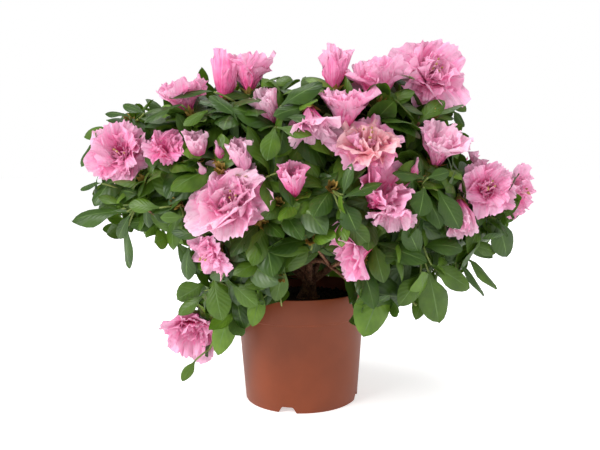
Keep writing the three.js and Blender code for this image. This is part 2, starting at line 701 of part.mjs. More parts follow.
// Fuses a piece on, turned a little further about its own axis each time the corners would crowd.
function fuse(solid, makePiece) {
  for (let turn = 0; turn < MOST_TURNS; turn += 1) {
    const fused = solid.add(makePiece(turn * TURN_STEP));
    if (!hasCrowdedCorners(fused)) return fused;
  }
  return solid;
}

function growMass(mass, tone) {
  const stemStart = mass.boughTip.clone().addScaledVector(mass.along, GAP);
  const radiusAt = taper(BOUGH_TIP_RADIUS, HUB_RADIUS);
  let solid = bentLimb({ curve: new THREE.LineCurve3(stemStart, mass.hub), radiusAt, sides: 5, steps: 1 });
  const blossoms = mass.shoots.filter((shoot) => shoot.blossom && shoot.scale > 0);
  mass.taken = blossoms.flatMap((shoot) => blossomPlaces(shoot, shoot.scale))
    .map((point) => ({ point, room: BLOSSOM_CLEARANCE }));
  addTwigs(mass);
  for (const shoot of mass.shoots) {
    solid = fuse(solid, (turn) => {
      shoot.twig.spin = turn + TURN_STEP;
      return bentLimb(shoot.twig);
    });
  }
  for (const shoot of blossoms) {
    solid = fuse(solid, (turn) => blossomSolid(shoot, shoot.scale, turn));
  }
  let leaves = 0;
  for (const leaf of mass.shoots.flatMap((shoot) => growLeaves(mass, shoot))) {
    const fused = solid.add(leaf);
    if (!hasCrowdedCorners(fused)) {
      solid = fused;
      leaves += 1;
    }
  }
  addNode(`mass_${mass.name}`, solid, tone, 0.6, { leaves, blossoms: blossoms.length });
}

makePot();
makeSoil();
makeTrunk();
for (const [name, [parent, ...shoots]] of Object.entries({ ...FRONT_MASSES, ...TOP_MASSES })) {
  layOut(name, parent, shoots.map(([azimuth, height, bears, reach], i) => (
    makeShoot(azimuth, height, bears, reach, TURNS[name]?.[i])
  )));
}
for (const [name, [parent, azimuth, height, count, share]] of Object.entries(BACK_MASSES)) {
  layOut(name, parent, backShoots(azimuth, height, count, share));
}
for (const mass of masses) {
  mass.sites = spaceAround(mass);
}
for (const mass of masses) {
  for (const shoot of mass.shoots.filter((each) => each.blossom)) {
    shoot.scale = BLOSSOM_SCALES.find((scale) => blossomFits(mass, shoot, scale)) ?? 0;
  }
}
masses.forEach((mass, i) => growMass(mass, GREEN_TONES[i % GREEN_TONES.length]));

export default group;
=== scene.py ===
"""The looks of a flowering indoor azalea in its 12 cm nursery pot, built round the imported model.

The shrub is worked out in millimetres, in the model's own frame: the origin is the centre of the pot's
flat underside, +X runs along the widest spread of the crown, the front faces -Y and +Z is up. Azimuths
are in degrees round the pot's axis, measured from the front and growing towards +X. A mesh turns its
millimetres into metres when it is made.

The crown follows the rule that the model was grown by: a low dome of shoots, each mass of them on its
own bough. Here every twig also carries finer side shoots, and each shoot a whole whorl of thin leaves.
"""
import math
import random

import bmesh
import bpy
import numpy as np
from mathutils import Matrix, Vector, noise


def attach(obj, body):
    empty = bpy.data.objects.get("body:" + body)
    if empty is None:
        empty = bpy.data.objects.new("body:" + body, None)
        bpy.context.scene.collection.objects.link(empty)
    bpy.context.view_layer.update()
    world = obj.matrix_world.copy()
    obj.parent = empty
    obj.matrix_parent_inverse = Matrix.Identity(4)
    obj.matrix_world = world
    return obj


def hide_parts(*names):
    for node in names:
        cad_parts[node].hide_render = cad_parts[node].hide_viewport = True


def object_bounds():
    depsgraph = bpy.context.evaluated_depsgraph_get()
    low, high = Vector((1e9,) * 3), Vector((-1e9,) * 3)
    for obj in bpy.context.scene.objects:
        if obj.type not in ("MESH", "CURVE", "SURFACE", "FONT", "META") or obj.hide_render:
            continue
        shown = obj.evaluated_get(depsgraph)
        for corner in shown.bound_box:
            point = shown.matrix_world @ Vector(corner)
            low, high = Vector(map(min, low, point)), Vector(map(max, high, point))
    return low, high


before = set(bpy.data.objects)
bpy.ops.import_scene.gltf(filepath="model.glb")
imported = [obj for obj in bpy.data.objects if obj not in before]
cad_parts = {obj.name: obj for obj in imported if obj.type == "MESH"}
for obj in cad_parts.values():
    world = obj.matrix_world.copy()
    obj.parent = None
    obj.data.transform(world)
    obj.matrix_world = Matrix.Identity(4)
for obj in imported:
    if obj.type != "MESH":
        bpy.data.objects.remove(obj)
cad_low, cad_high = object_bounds()

MM = 0.001

# The seeds of this script's own draws and of the model's.
SEED = 4242
MODEL_SEED = 4242

# The pot and its soil. The band round the rim stands out by its step, and the floor is raised on a ring.
RIM_RADIUS = 60.6
RIM_HEIGHT = 101.4
FOOT_RADIUS = 51.8
BAND_HEIGHT = 78.5
BAND_STEP = 1
WALL = 1.7
FLOOR_THICKNESS = 1.9
FOOT_RECESS = 5.5
FOOT_RING_WIDTH = 3.4
CENTRE_FOOT_RADIUS = 34
NOTCH_AZIMUTH = -14
NOTCH_COUNT = 4
NOTCH_FOOT_WIDTH = 16
NOTCH_TOP_WIDTH = 9
DRAIN_RADIUS = 3.5
POT_SIDES = 144
SHARP_EDGE = 32
SOIL_HEIGHT = 91
SOIL_SIDES = 96
SOIL_GAP = 0.5
CRUMB_COUNT = 1100

# The trunk, boughs and twigs. Shares are of the trunk's height or of a bough's or twig's own length.
TRUNK_X = 7
TRUNK_HEIGHT = 20
TRUNK_LEAN = 3
TRUNK_FOOT_RADIUS = 11
TRUNK_FORK_RADIUS = 5.4
FLARE_HEIGHT = 0.35
BOUGH_RADIUS = 3.3
SIDE_BOUGH_RADIUS = 2.6
BOUGH_TIP_RADIUS = 2.2
BOUGH_BEND = 0.13
LOWEST_SEAT = 0.42
SEAT_RUN = 0.5
SEAT_TURN = 0.382
SEAT_SHARE = 0.434
SEAT_SPACING = 0.13
STEM_LENGTH = 14
STEM_TIP_RADIUS = 1.6
HUB_SHARE = 0.6
RIM_CLEARANCE = 15
TWIG_SPACING = 0.75
TWIG_BEND = 0.4
SIDE_TWIG_BEND = 12
TWIG_RADIUS = 1.5
TWIG_TIP_RADIUS = 1.0
TWIG_STEP = 6
GREEN_SHARE = 0.6
SIDE_SHOOT_RADIUS = 0.9
SIDE_SHOOT_TIP_RADIUS = 0.6
STALK_TIP_RADIUS = 0.7

# The crown's dome, from the middle of its height up and down.
CROWN_HALF_WIDTH = 205
CROWN_HALF_DEPTH = 150
CROWN_MIDDLE = 190
CROWN_RISE = 140
CROWN_DROP = 115
TOPMOST_SHARE = 0.98

# How much of the dome's reach the leaves and the side shoots may fill, how far leaves may pass the model's
# own box, and how far they keep off the pot. The dome closes in towards its foot, but hanging shoots may
# fill the space straight below its skirt.
LEAF_REACH = 1.1
SIDE_SHOOT_REACH = 0.97
BOX_MARGIN = 3
POT_CLEARANCE = 2
SKIRT_HEIGHT = 125

# What a shoot bears: the width and depth of its blossom and how far its face is turned up, in degrees.
# The foot of a blossom lies behind its centre by a share of its depth. A leafy shoot's tip lies so far
# below the dome's surface, and is turned up by a share.
BLOSSOMS = {
    "double": dict(width=60, depth=27, tilt=5),
    "open": dict(width=50, depth=26, tilt=10),
    "small": dict(width=36, depth=24, tilt=10),
    "rising": dict(width=44, depth=34, tilt=55),
    "hanging": dict(width=44, depth=34, tilt=-45),
    "half": dict(width=27, depth=34, tilt=40),
    "bud": dict(width=9, depth=20, tilt=30),
}
FOOT_SHARE = 0.7
LEAFY_TIP_DEPTH = 9
LEAFY_RISE = 0.3

# The masses in the order in which they grow: the bough or trunk that carries each, and its shoots.
# A shoot is its azimuth, its height and what it bears, with its reach where that isn't the dome's own.
FRONT_MASSES = {
    "far_left": ("trunk", (-52, 228, "double"), (-55, 198, "small"), (-56, 253, "leafy"),
                 (-59, 194, "leafy", 180)),
    "left_centre": ("trunk", (-19, 194, "double"), (-29, 234, "half"), (-16, 227, "half"),
                    (-22, 214, "leafy"), (-10, 172, "leafy"), (-34, 188, "leafy")),
    "centre": ("trunk", (-2, 211, "half"), (4, 238, "hanging"), (-6, 188, "leafy"), (9, 200, "leafy")),
    "far_right": ("trunk", (53, 198, "open"), (68, 190, "open"), (57, 170, "leafy"),
                  (72, 158, "leafy", 172)),
    "lower_left": ("left_centre", (-28, 149, "open"), (-18, 140, "leafy"), (-26, 112, "leafy", 118),
                   (-7, 128, "leafy")),
    "lowest_left": ("far_left", (-57, 72, "hanging", 110), (-52, 52, "leafy", 100),
                    (-40, 90, "leafy", 110)),
    "upper_left": ("far_left", (-40, 272, "rising"), (-38, 232, "small"), (-35, 256, "leafy"),
                   (-44, 205, "leafy")),
    "lower_centre": ("centre", (13, 152, "hanging"), (19, 142, "leafy"), (25, 100, "leafy", 126),
                     (3, 160, "leafy")),
    "centre_right": ("centre", (19, 234, "double"), (15, 263, "rising"), (23, 200, "rising"),
                     (25, 176, "hanging")),
    "right": ("far_right", (32, 217, "bud"), (41, 234, "rising"), (34, 200, "leafy"),
              (38, 250, "leafy")),
    "lower_right": ("far_right", (38, 150, "leafy"), (45, 170, "half"), (54, 120, "leafy", 158),
                    (42, 98, "leafy", 138)),
}
TOP_MASSES = {
    "top": ("trunk", (0, 262, "leafy", 40), (90, 286, "rising", 92), (-90, 280, "leafy", 92),
            (180, 262, "open", 36), (-132, 274, "leafy", 78), (130, 276, "leafy", 80),
            (-58, 286, "leafy", 62)),
    "top_left": ("top", (-28, 287, "half"), (-20, 291, "rising"), (-22, 267, "leafy"),
                 (-11, 262, "half"), (-4, 258, "leafy"), (-6, 246, "leafy")),
    "top_right": ("top", (16, 294, "half"), (30, 286, "rising"), (27, 262, "leafy"), (13, 276, "leafy")),
    "top_far_right": ("far_right", (51, 288, "double", 136), (44, 256, "leafy"), (40, 290, "leafy")),
}
# The rest of the crown carries on round the back: each mass's bough, azimuth, height, shoot count and
# share of the dome's reach.
BACK_MASSES = {
    "back": ("trunk", 158, 166, 4, 1),
    "back_left": ("trunk", -150, 164, 4, 1),
    "right_side": ("far_right", 96, 188, 4, 0.81),
    "right_back": ("back", 120, 166, 4, 0.95),
    "left_back": ("far_left", -110, 168, 4, 0.84),
    "left_side": ("far_left", -95, 214, 4, 0.77),
    "top_back_left": ("back_left", -132, 246, 4, 0.95),
    "top_back_right": ("back", 130, 246, 4, 0.93),
    "top_back": ("back", 180, 248, 4, 1),
}
BACK_SHOOT_SPREAD = 31
BACK_BEARS = ("double", "leafy", "rising", "leafy", "open", "leafy", "half", "hanging", "bud")

# How the front blossoms differ from what their kind and the dome give them: degrees turned to the right,
# degrees turned up, size, and tone. The others take their tones in turn.
TURNS = {
    ("far_left", 0): (36, -2, 0.95, "rose"),
    ("far_left", 1): (-20, -10, 0.8, "pale"),
    ("left_centre", 0): (-2, 26, 1.16, "pale"),
    ("left_centre", 1): (10, 5, 0.66, "pale"),
    ("left_centre", 2): (-5, 12, 0.75, "dusty"),
    ("centre", 0): (-8, 12, 0.86, "deep"),
    ("centre", 1): (20, -36, 0.8, "dusty"),
    ("far_right", 0): (-34, 6, 0.88, "rose"),
    ("far_right", 1): (-6, -16, 0.88, "rose"),
    ("lower_left", 0): (-25, -12, 0.84, "rose"),
    ("lowest_left", 0): (40, 50, 1.1, "rose"),
    ("upper_left", 0): (-6, 10, 0.86, "rose"),
    ("upper_left", 1): (34, 10, 0.8, "deep"),
    ("lower_centre", 0): (-76, 38, 0.9, "rose"),
    ("centre_right", 0): (-10, 22, 1, "salmon"),
    ("centre_right", 1): (4, 10, 1, "rose"),
    ("centre_right", 2): (20, -18, 1, "deep"),
    ("centre_right", 3): (-20, -10, 0.7, "pale"),
    ("right", 0): (0, 20, 1, "deep"),
    ("right", 1): (-8, 0, 0.92, "pale"),
    ("lower_right", 1): (-30, -95, 0.85, "pale"),
    ("top_left", 0): (-30, 32, 1, "deep"),
    ("top_left", 1): (0, 24, 0.86, "rose"),
    ("top_left", 3): (-40, 0, 0.8, "pale"),
    ("top_right", 0): (-30, 36, 1.02, "rose"),
    ("top_right", 1): (-10, 24, 1.2, "rose"),
    ("top_far_right", 0): (-8, -22, 1.18, "rose"),
}
TONES = ("rose", "pale", "rose", "deep", "pale", "rose", "dusty")

# Twigs between the masses' own shoots: what each leaves, how far along it, its azimuth, height and reach,
# what it bears, and how far it sags. A bough is named, and a shoot is its mass and its number.
SIDE_TWIGS = (
    ("far_left", 0.5, -47, 188, 172, "leafy", 16),
    (("left_centre", 1), 0.6, -23, 231, None, "bud", 0),
    (("left_centre", 3), 0.6, -27, 217, None, "bud", 0),
    (("left_centre", 4), 0.6, -11, 185, None, "bud", 0),
    (("centre", 1), 0.5, -2, 250, None, "bud", 0),
    (("upper_left", 1), 0.6, -31, 238, None, "bud", 0),
    (("lower_left", 3), 0.5, -9, 118, 112, "leafy", 4),
    ("back_left", 0.6, -165, 118, 84, "leafy", 4),
    ("back", 0.6, 168, 116, 84, "leafy", 4),
    ("back_left", 0.8, -136, 120, 92, "leafy", 4),
    ("back", 0.8, 140, 118, 96, "leafy", 4),
    ("top_back", 0.8, 178, 268, 76, "leafy", 0),
    ("left_side", 0.7, -98, 262, 98, "leafy", 0),
    ("upper_left", 0.7, -73, 262, 110, "leafy", 0),
    ("right_side", 0.7, 84, 258, 112, "leafy", 0),
    ("upper_left", 0.7, -58, 246, 106, "leafy", 0),
    ("top", 0.7, 70, 258, 37, "leafy", 0),
    ("top", 0.8, -141, 256, 48, "leafy", 0),
)

# The big leaves that mark the front of the crown: the root of each, its tip, and how wide it looks from
# the front. One that looks narrow is turned edge on.
LONE_LEAVES = (
    (63, -109, 129, 47, -113, 85, 25), (91, -112, 133, 73, -120, 110, 19),
    (97, -110, 134, 107, -101, 92, 21), (99, -88, 119, 90, -96, 93, 12),
    (98, -115, 140, 130, -103, 119, 15), (121, -96, 139, 146, -84, 109, 6),
    (128, -90, 142, 158, -78, 113, 6), (151, -99, 173, 163, -87, 141, 19),
    (131, -100, 153, 154, -88, 145, 11), (88, -124, 148, 75, -138, 173, 16),
    (88, -138, 199, 82, -152, 180, 19), (99, -131, 197, 116, -128, 168, 17),
    (30, -151, 190, 39, -152, 170, 14), (31, -150, 178, 48, -147, 160, 15),
    (29, -153, 193, 57, -152, 203, 8), (30, -151, 195, 36, -152, 217, 8),
    (91, -136, 206, 107, -133, 210, 10), (88, -137, 206, 64, -147, 209, 6),
    (-129, -112, 182, -175, -100, 174, 10), (-128, -110, 179, -140, -98, 160, 11),
    (-130, -107, 171, -133, -95, 136, 11), (-97, -118, 164, -105, -133, 161, 13),
    (-101, -130, 186, -125, -124, 188, 10), (-83, -136, 180, -100, -134, 179, 9),
    (-68, -134, 166, -93, -130, 168, 9), (-151, -100, 203, -171, -88, 197, 5),
    (-131, -115, 187, -153, -103, 193, 6), (-83, -115, 155, -87, -103, 128, 11),
    (-77, -84, 122, -99, -84, 109, 16), (-77, -92, 113, -97, -92, 98, 8),
    (-65, -115, 130, -59, -120, 100, 21), (-52, -117, 129, -32, -125, 112, 15),
    (-30, -106, 122, -37, -111, 93, 15), (-53, -87, 108, -67, -89, 64, 19),
    (-89, -62, 52, -101, -62, 34, 10), (-13, -135, 257, 17, -129, 273, 13),
    (-10, -139, 249, 15, -145, 246, 8), (-17, -142, 242, -22, -155, 219, 15),
    (-15, -142, 242, 9, -149, 236, 10), (-61, -120, 269, -95, -112, 265, 6),
    (-85, -118, 260, -113, -117, 247, 7), (-149, -85, 245, -171, -73, 239, 9),
    (-129, -95, 253, -151, -83, 256, 5), (-116, -102, 255, -135, -90, 262, 8),
    (-158, -82, 236, -174, -74, 215, 10), (-65, -127, 255, -82, -132, 244, 8),
    (-43, -135, 250, -64, -127, 265, 10), (-12, -124, 142, -19, -113, 113, 15),
    (8, -138, 155, -22, -142, 155, 8), (117, -84, 266, 130, -84, 255, 9), (119, -86, 256, 128, -86, 243, 7),
)
LONE_LEAF_WIDTH = 0.46

# Places in front of blossoms that leaves keep clear of: the middle and the radius of each. Every lone leaf
# has such a place in front of it too, so far ahead of its middle.
CLEAR_PLACES = ((-92, -94, 72, 26), (-94, -72, 66, 24), (-45, -130, 284, 17), (-56, -134, 276, 13))
LONE_LEAF_AHEAD = 11
LONE_LEAF_CLEARANCE = 13

# The leaves: whorls at the shoot tips, with a few more down each shoot. Side shoots have fewer.
LEAF_LENGTH = 45
LEAF_WIDTH = 0.47
LEAF_VARIANTS = 14
LONE_VARIANTS = 6
GOLDEN_ANGLE = 137.5
TOP_WHORL = 7
LOW_LEAVES = 4
LEAF_SPACING = 1.3
# Lone leaves rooted below this height take lighter greens, and those above it darker ones.
LIGHTER_GREENS_BELOW = 135
SIDE_SHOOTS = 3
SIDE_WHORL = 6
SIDE_LOW_LEAVES = 2
SIDE_SHOOT_LENGTHS = (20, 38)
SIDE_SHOOT_SPACING = 19
SIDE_SHOOT_TRIES = 10

# How far the wave of the side veins runs on along a leaf, in radians: seven veins to a side.
VEIN_RUN = 44

# The blossoms and buds: how many petals keep the blossom's own tone, and which leafy shoots end in a bud.
OWN_TONE_SHARE = 0.8
RESTING_BUD_SHARE = 0.6
LOWEST_RESTING_BUD = 110

# A joined piece that has more triangles than this is full, and the next one is begun.
FULL_PIECE = 170000

dice = random.Random(SEED)


def between(low, high):
    return low + (high - low) * dice.random()


def unit(vector):
    return vector / max(np.linalg.norm(vector), 1e-9)


def point(x, y, z):
    return np.array((x, y, z), float)


def mix(start, end, share):
    return start + (end - start) * share


def square_to(axis, steepest=0.9):
    """A direction square to an axis, and level unless the axis is steep."""
    return unit(np.cross(axis, UP if abs(axis[2]) < steepest else point(1, 0, 0)))


def spoke_round(axis, angle):
    """The direction that stands out from an axis at an angle round it."""
    side = square_to(axis)
    return side * math.cos(angle) + np.cross(axis, side) * math.sin(angle)


UP = point(0, 0, 1)
GROUND = SOIL_HEIGHT + 0.3
FORK = point(TRUNK_X + TRUNK_LEAN, 0, GROUND + TRUNK_HEIGHT)


# Materials.

def linear(colour):
    """An sRGB hex colour as the linear RGBA that the shader takes."""
    channels = [int(colour[i:i + 2], 16) / 255 for i in (1, 3, 5)]
    return [c / 12.92 if c <= 0.04045 else ((c + 0.055) / 1.055) ** 2.4 for c in channels] + [1]


def add(material, kind, inputs=(), stops=(), **settings):
    """Adds a node with its settings and, on a colour ramp, its (place, hex colour) stops.

    An input takes a value, another node's output, or a node, of which it takes the first output."""
    made = material.node_tree.nodes.new(kind)
    for name, value in settings.items():
        setattr(made, name, value)
    for name, value in dict(inputs).items():
        if isinstance(value, bpy.types.Node):
            value = value.outputs[0]
        if isinstance(value, bpy.types.NodeSocket):
            material.node_tree.links.new(value, made.inputs[name])
        else:
            made.inputs[name].default_value = value
    if stops:
        elements = made.color_ramp.elements
        while len(elements) < len(stops):
            elements.new(0.5)
        for element, (place, colour) in zip(elements, stops):
            element.position = place
            element.color = linear(colour)
    return made


def new_material(name):
    material = bpy.data.materials.new(name)
    material.use_nodes = True
    material.node_tree.nodes.clear()
    return material


def finish_material(material, shader):
    output = add(material, "ShaderNodeOutputMaterial", {"Surface": shader})
    output.name = "Output"
    return material


def per_metre(feature_mm):
    """The scale of a pattern on Object coordinates whose features are so many millimetres across."""
    return 1 / (feature_mm * MM)


def skin(material, colour, roughness, ior, relief, strength, relief_mm):
    """A surface of one colour and gloss, with a relief that stands so many millimetres high."""
    bump = add(material, "ShaderNodeBump", {
        "Strength": strength, "Distance": relief_mm * MM, "Height": relief,
    })
    return add(material, "ShaderNodeBsdfPrincipled", {
        "Base Color": colour, "Roughness": roughness, "IOR": ior, "Normal": bump,
    })


def lit_through(material, shader, share, colour):
    """The same surface on tissue so thin that a share of the light comes through it."""
    through = add(material, "ShaderNodeBsdfTranslucent", {"Color": colour})
    return add(material, "ShaderNodeMixShader", {0: share, 1: shader, 2: through})


def moulded_polypropylene():
    """Injection-moulded terracotta-coloured plastic: an even, slightly chalky skin with a soft sheen."""
    material = new_material("moulded_polypropylene")
    place = add(material, "ShaderNodeTexCoord").outputs["Object"]
    mottling = add(material, "ShaderNodeTexNoise", {
        "Vector": place, "Scale": per_metre(26), "Detail": 4, "Roughness": 0.55,
    })
    colour = add(material, "ShaderNodeValToRGB", {"Fac": mottling},
                 stops=((0.3, "#77330F"), (0.7, "#803813")))
    grain = add(material, "ShaderNodeTexNoise", {"Vector": place, "Scale": per_metre(1.1), "Detail": 2})
    return finish_material(material, skin(material, colour, 0.5, 1.42, grain, 0.08, 0.2))


def damp_peat():
    """Damp black peat: dark crumbs of many sizes, with no shine."""
    material = new_material("damp_peat")
    place = add(material, "ShaderNodeTexCoord").outputs["Object"]
    crumbs = add(material, "ShaderNodeTexNoise", {
        "Vector": place, "Scale": per_metre(2.4), "Detail": 5, "Roughness": 0.65,
    })
    colour = add(material, "ShaderNodeValToRGB", {"Fac": crumbs},
                 stops=((0.32, "#15100B"), (0.55, "#2C2118"), (0.75, "#4A3828")))
    return finish_material(material, skin(material, colour, 0.92, 1.45, crumbs, 0.7, 1.5))


def thin_bark():
    """Thin flaky bark of old wood: brown, with paler flakes on it and darker cracks between them."""
    material = new_material("thin_bark")
    place = add(material, "ShaderNodeTexCoord").outputs["Object"]
    patches = add(material, "ShaderNodeTexNoise", {
        "Vector": place, "Scale": per_metre(7), "Detail": 4, "Roughness": 0.6,
    })
    flakes = add(material, "ShaderNodeTexNoise", {
        "Vector": place, "Scale": per_metre(1.6), "Detail": 3, "Roughness": 0.6,
    })
    shade = add(material, "ShaderNodeMath", {0: patches, 1: flakes}, operation="MULTIPLY")
    colour = add(material, "ShaderNodeValToRGB", {"Fac": shade},
                 stops=((0.14, "#46291B"), (0.26, "#764C34"), (0.4, "#A37A5C")))
    return finish_material(material, skin(material, colour, 0.8, 1.45, flakes, 0.6, 0.6))


def plain_tissue(name, dark, light, feature_mm, roughness, glow=0, glow_colour=None):
    """Living tissue of one kind: a soft mottling of two near colours, and the light that comes through."""
    material = new_material(name)
    place = add(material, "ShaderNodeTexCoord").outputs["Object"]
    mottling = add(material, "ShaderNodeTexNoise", {
        "Vector": place, "Scale": per_metre(feature_mm), "Detail": 3,
    })
    colour = add(material, "ShaderNodeValToRGB", {"Fac": mottling}, stops=((0.3, dark), (0.7, light)))
    grain = add(material, "ShaderNodeTexNoise", {"Vector": place, "Scale": per_metre(1.8), "Detail": 2})
    shader = skin(material, colour, roughness, 1.42, grain, 0.25, 0.4)
    if glow:
        shader = lit_through(material, shader, glow, linear(glow_colour))
    return finish_material(material, shader)


def leaf_material(name, dark, light):
    """A leathery leaf with a soft waxy gloss. Its side veins sink in, so the blade looks quilted."""
    material = new_material(name)
    coordinates = add(material, "ShaderNodeTexCoord")
    mottling = add(material, "ShaderNodeTexNoise", {
        "Vector": coordinates.outputs["Object"], "Scale": per_metre(14), "Detail": 3,
    })
    colour = add(material, "ShaderNodeValToRGB", {"Fac": mottling}, stops=((0.3, dark), (0.72, light)))
    split = add(material, "ShaderNodeSeparateXYZ", {"Vector": coordinates.outputs["UV"]})
    aside = add(material, "ShaderNodeMath", {0: split.outputs["X"], 1: 0.5}, operation="SUBTRACT")
    apart = add(material, "ShaderNodeMath", {0: aside}, operation="ABSOLUTE")
    slope = add(material, "ShaderNodeMath", {0: apart, 1: -0.7, 2: split.outputs["Y"]},
                operation="MULTIPLY_ADD")
    turns = add(material, "ShaderNodeMath", {0: slope, 1: VEIN_RUN}, operation="MULTIPLY")
    veins = add(material, "ShaderNodeMath", {0: turns}, operation="SINE")
    shader = skin(material, colour, 0.4, 1.38, veins, 0.16, 0.5)
    return finish_material(material, lit_through(material, shader, 0.1, linear("#6F9A28")))


def petal_material(name, throat_with_painted_shade, middle, margin):
    """A thin, soft petal with a pale frilled margin and streaks drawn out along it. It is deeper towards its
    throat, partly its own pink and partly painted shade.
    """
    material = new_material(name)
    coordinates = add(material, "ShaderNodeTexCoord")
    place = coordinates.outputs["Object"]
    drawn_out = add(material, "ShaderNodeVectorMath", {0: coordinates.outputs["UV"], 1: (22, 1.6, 1)},
                    operation="MULTIPLY")
    streaks = add(material, "ShaderNodeTexNoise", {
        "Vector": drawn_out, "Scale": 1, "Detail": 2, "Roughness": 0.6,
    })
    patches = add(material, "ShaderNodeTexNoise", {"Vector": place, "Scale": per_metre(11), "Detail": 2})
    both = add(material, "ShaderNodeMath", {0: streaks, 1: patches}, operation="ADD")
    shade = add(material, "ShaderNodeMath", {0: both, 1: 0.85, 2: -0.6}, operation="MULTIPLY_ADD")
    split = add(material, "ShaderNodeSeparateXYZ", {"Vector": coordinates.outputs["UV"]})
    depth = add(material, "ShaderNodeMath", {0: split.outputs["Y"], 1: 0.78, 2: shade},
                operation="MULTIPLY_ADD")
    # The throat stop holds painted shade of the blossom's crowded centre as well as the petal's own deeper
    # pink.
    colour = add(material, "ShaderNodeValToRGB", {"Fac": depth},
                 stops=((0.34, throat_with_painted_shade), (0.66, middle), (0.98, margin)))
    puckers = add(material, "ShaderNodeTexNoise", {"Vector": place, "Scale": per_metre(3.2), "Detail": 2})
    crepe = add(material, "ShaderNodeMath", {0: streaks, 1: puckers}, operation="ADD")
    shader = skin(material, colour, 0.62, 1.36, crepe, 0.8, 1.6)
    return finish_material(material, lit_through(material, shader, 0.28, colour))


LEAF_FINISHES = [
    leaf_material("leaf_dark_green", "#284214", "#3A5519"),
    leaf_material("leaf_middle_green", "#375014", "#4E6B1B"),
    leaf_material("leaf_grey_green", "#3D5333", "#51663C"),
    leaf_material("leaf_fresh_green", "#476619", "#628126"),
    plain_tissue("leaf_rib", "#48622A", "#5C7A36", 8, 0.45),
]
DARK, MIDDLE, GREY, FRESH, RIB = range(5)
LEAF_DEALT = (DARK, DARK, DARK, MIDDLE, MIDDLE, DARK, GREY, DARK, MIDDLE, MIDDLE, DARK, GREY, MIDDLE, FRESH)
# Each petal's throat, middle and margin colours. The throat colours are deepened as painted shade where the
# petals crowd together.
PETAL_FINISHES = [
    petal_material("petal_rose", "#F25EA1", "#FB9DCB", "#FAC0DD"),
    petal_material("petal_pale", "#F473B0", "#FBB3D4", "#FBD3E6"),
    petal_material("petal_deep", "#F04A93", "#FA83BB", "#FAAED3"),
    petal_material("petal_dusty", "#DC80AA", "#EDA9CA", "#F6CBDF"),
    petal_material("petal_salmon", "#E26A86", "#F2A5B0", "#F8C9CF"),
]
PETAL_TONES = ("rose", "pale", "deep", "dusty", "salmon")
ROSE, SALMON = 0, 4
BARK = thin_bark()
TWIG_FINISHES = [BARK, plain_tissue("green_shoot", "#56682C", "#7F8A45", 6, 0.6)]
WOODY, GREEN = range(2)
PART_FINISHES = [
    plain_tissue("hairy_sepal", "#7F9040", "#A9B062", 5, 0.6, 0.15, "#A8B850"),
    plain_tissue("papery_bud_scale", "#85692E", "#AE924A", 4, 0.6),
    plain_tissue("stamen_thread", "#F2B6C6", "#F8D0D8", 4, 0.5),
    plain_tissue("anther", "#8E6A3A", "#C0A060", 2, 0.7),
]
SEPAL, BUD_SCALE, FILAMENT, ANTHER = range(4)


# Curves and meshes.

CURVE_POINTS = 25
HEADING_REACH = 0.04


class Curve:
    """A smooth path, measured along its length."""

    def __init__(self, start, bend, end):
        shares = np.linspace(0, 1, CURVE_POINTS)[:, None]
        self.points = (1 - shares) ** 2 * start + 2 * shares * (1 - shares) * bend + shares ** 2 * end
        steps = np.linalg.norm(np.diff(self.points, axis=0), axis=1)
        self.run = np.concatenate(([0], np.cumsum(steps)))
        self.length = self.run[-1]

    def at(self, share):
        return np.array([np.interp(share * self.length, self.run, axis) for axis in self.points.T])

    def heading(self, share):
        return unit(self.at(min(share + HEADING_REACH, 1)) - self.at(max(share - HEADING_REACH, 0)))


def cross_frames(points):
    """Two directions across a path at each of its points, turning as little as they can along it."""
    headings = [unit(ahead - behind) for behind, ahead in zip(
        [points[0], *points[:-1]], [*points[1:], points[-1]])]
    sides = [square_to(headings[0])]
    for heading in headings[1:]:
        sides.append(unit(sides[-1] - heading * sides[-1].dot(heading)))
    return [(side, np.cross(heading, side), heading) for side, heading in zip(sides, headings)]


def corners_of(bm):
    """The corner numbers of a bmesh's faces."""
    return [tuple(vert.index for vert in face.verts) for face in bm.faces]


def place_piece(name, mesh):
    """Puts a finished mesh in the scene as a piece of the one body."""
    piece = bpy.data.objects.new(name, mesh)
    bpy.context.scene.collection.objects.link(piece)
    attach(piece, "root")
    return piece


class Pile:
    """Many small shapes gathered into arrays, to become one joined mesh."""

    def __init__(self):
        self.points = []
        self.faces = []
        self.finishes = []
        self.places = []
        self.count = 0

    def add(self, points, faces, finish, places=None):
        """Finish is a material's number, or one number for each face. Places are the points' own UVs."""
        self.points.append(points)
        self.faces.extend([tuple(corner + self.count for corner in face) for face in faces])
        self.finishes.extend([finish] * len(faces) if isinstance(finish, int) else finish)
        self.places.append(np.zeros((len(points), 2)) if places is None else places)
        self.count += len(points)

    def triangles(self):
        return sum(len(face) - 2 for face in self.faces)

    def build(self, name, materials, slot):
        mesh = bpy.data.meshes.new(name)
        mesh.from_pydata((np.concatenate(self.points) * MM).tolist(), [], self.faces)
        for material in materials:
            mesh.materials.append(material)
        mesh.polygons.foreach_set("material_index", self.finishes)
        mesh.polygons.foreach_set("use_smooth", [True] * len(self.faces))
        corners = np.zeros(len(mesh.loops), np.int32)
        mesh.loops.foreach_get("vertex_index", corners)
        layer = mesh.uv_layers.new(name="growth")
        layer.data.foreach_set("uv", np.concatenate(self.places)[corners].ravel())
        mesh.update()
        return place_piece(name, mesh)


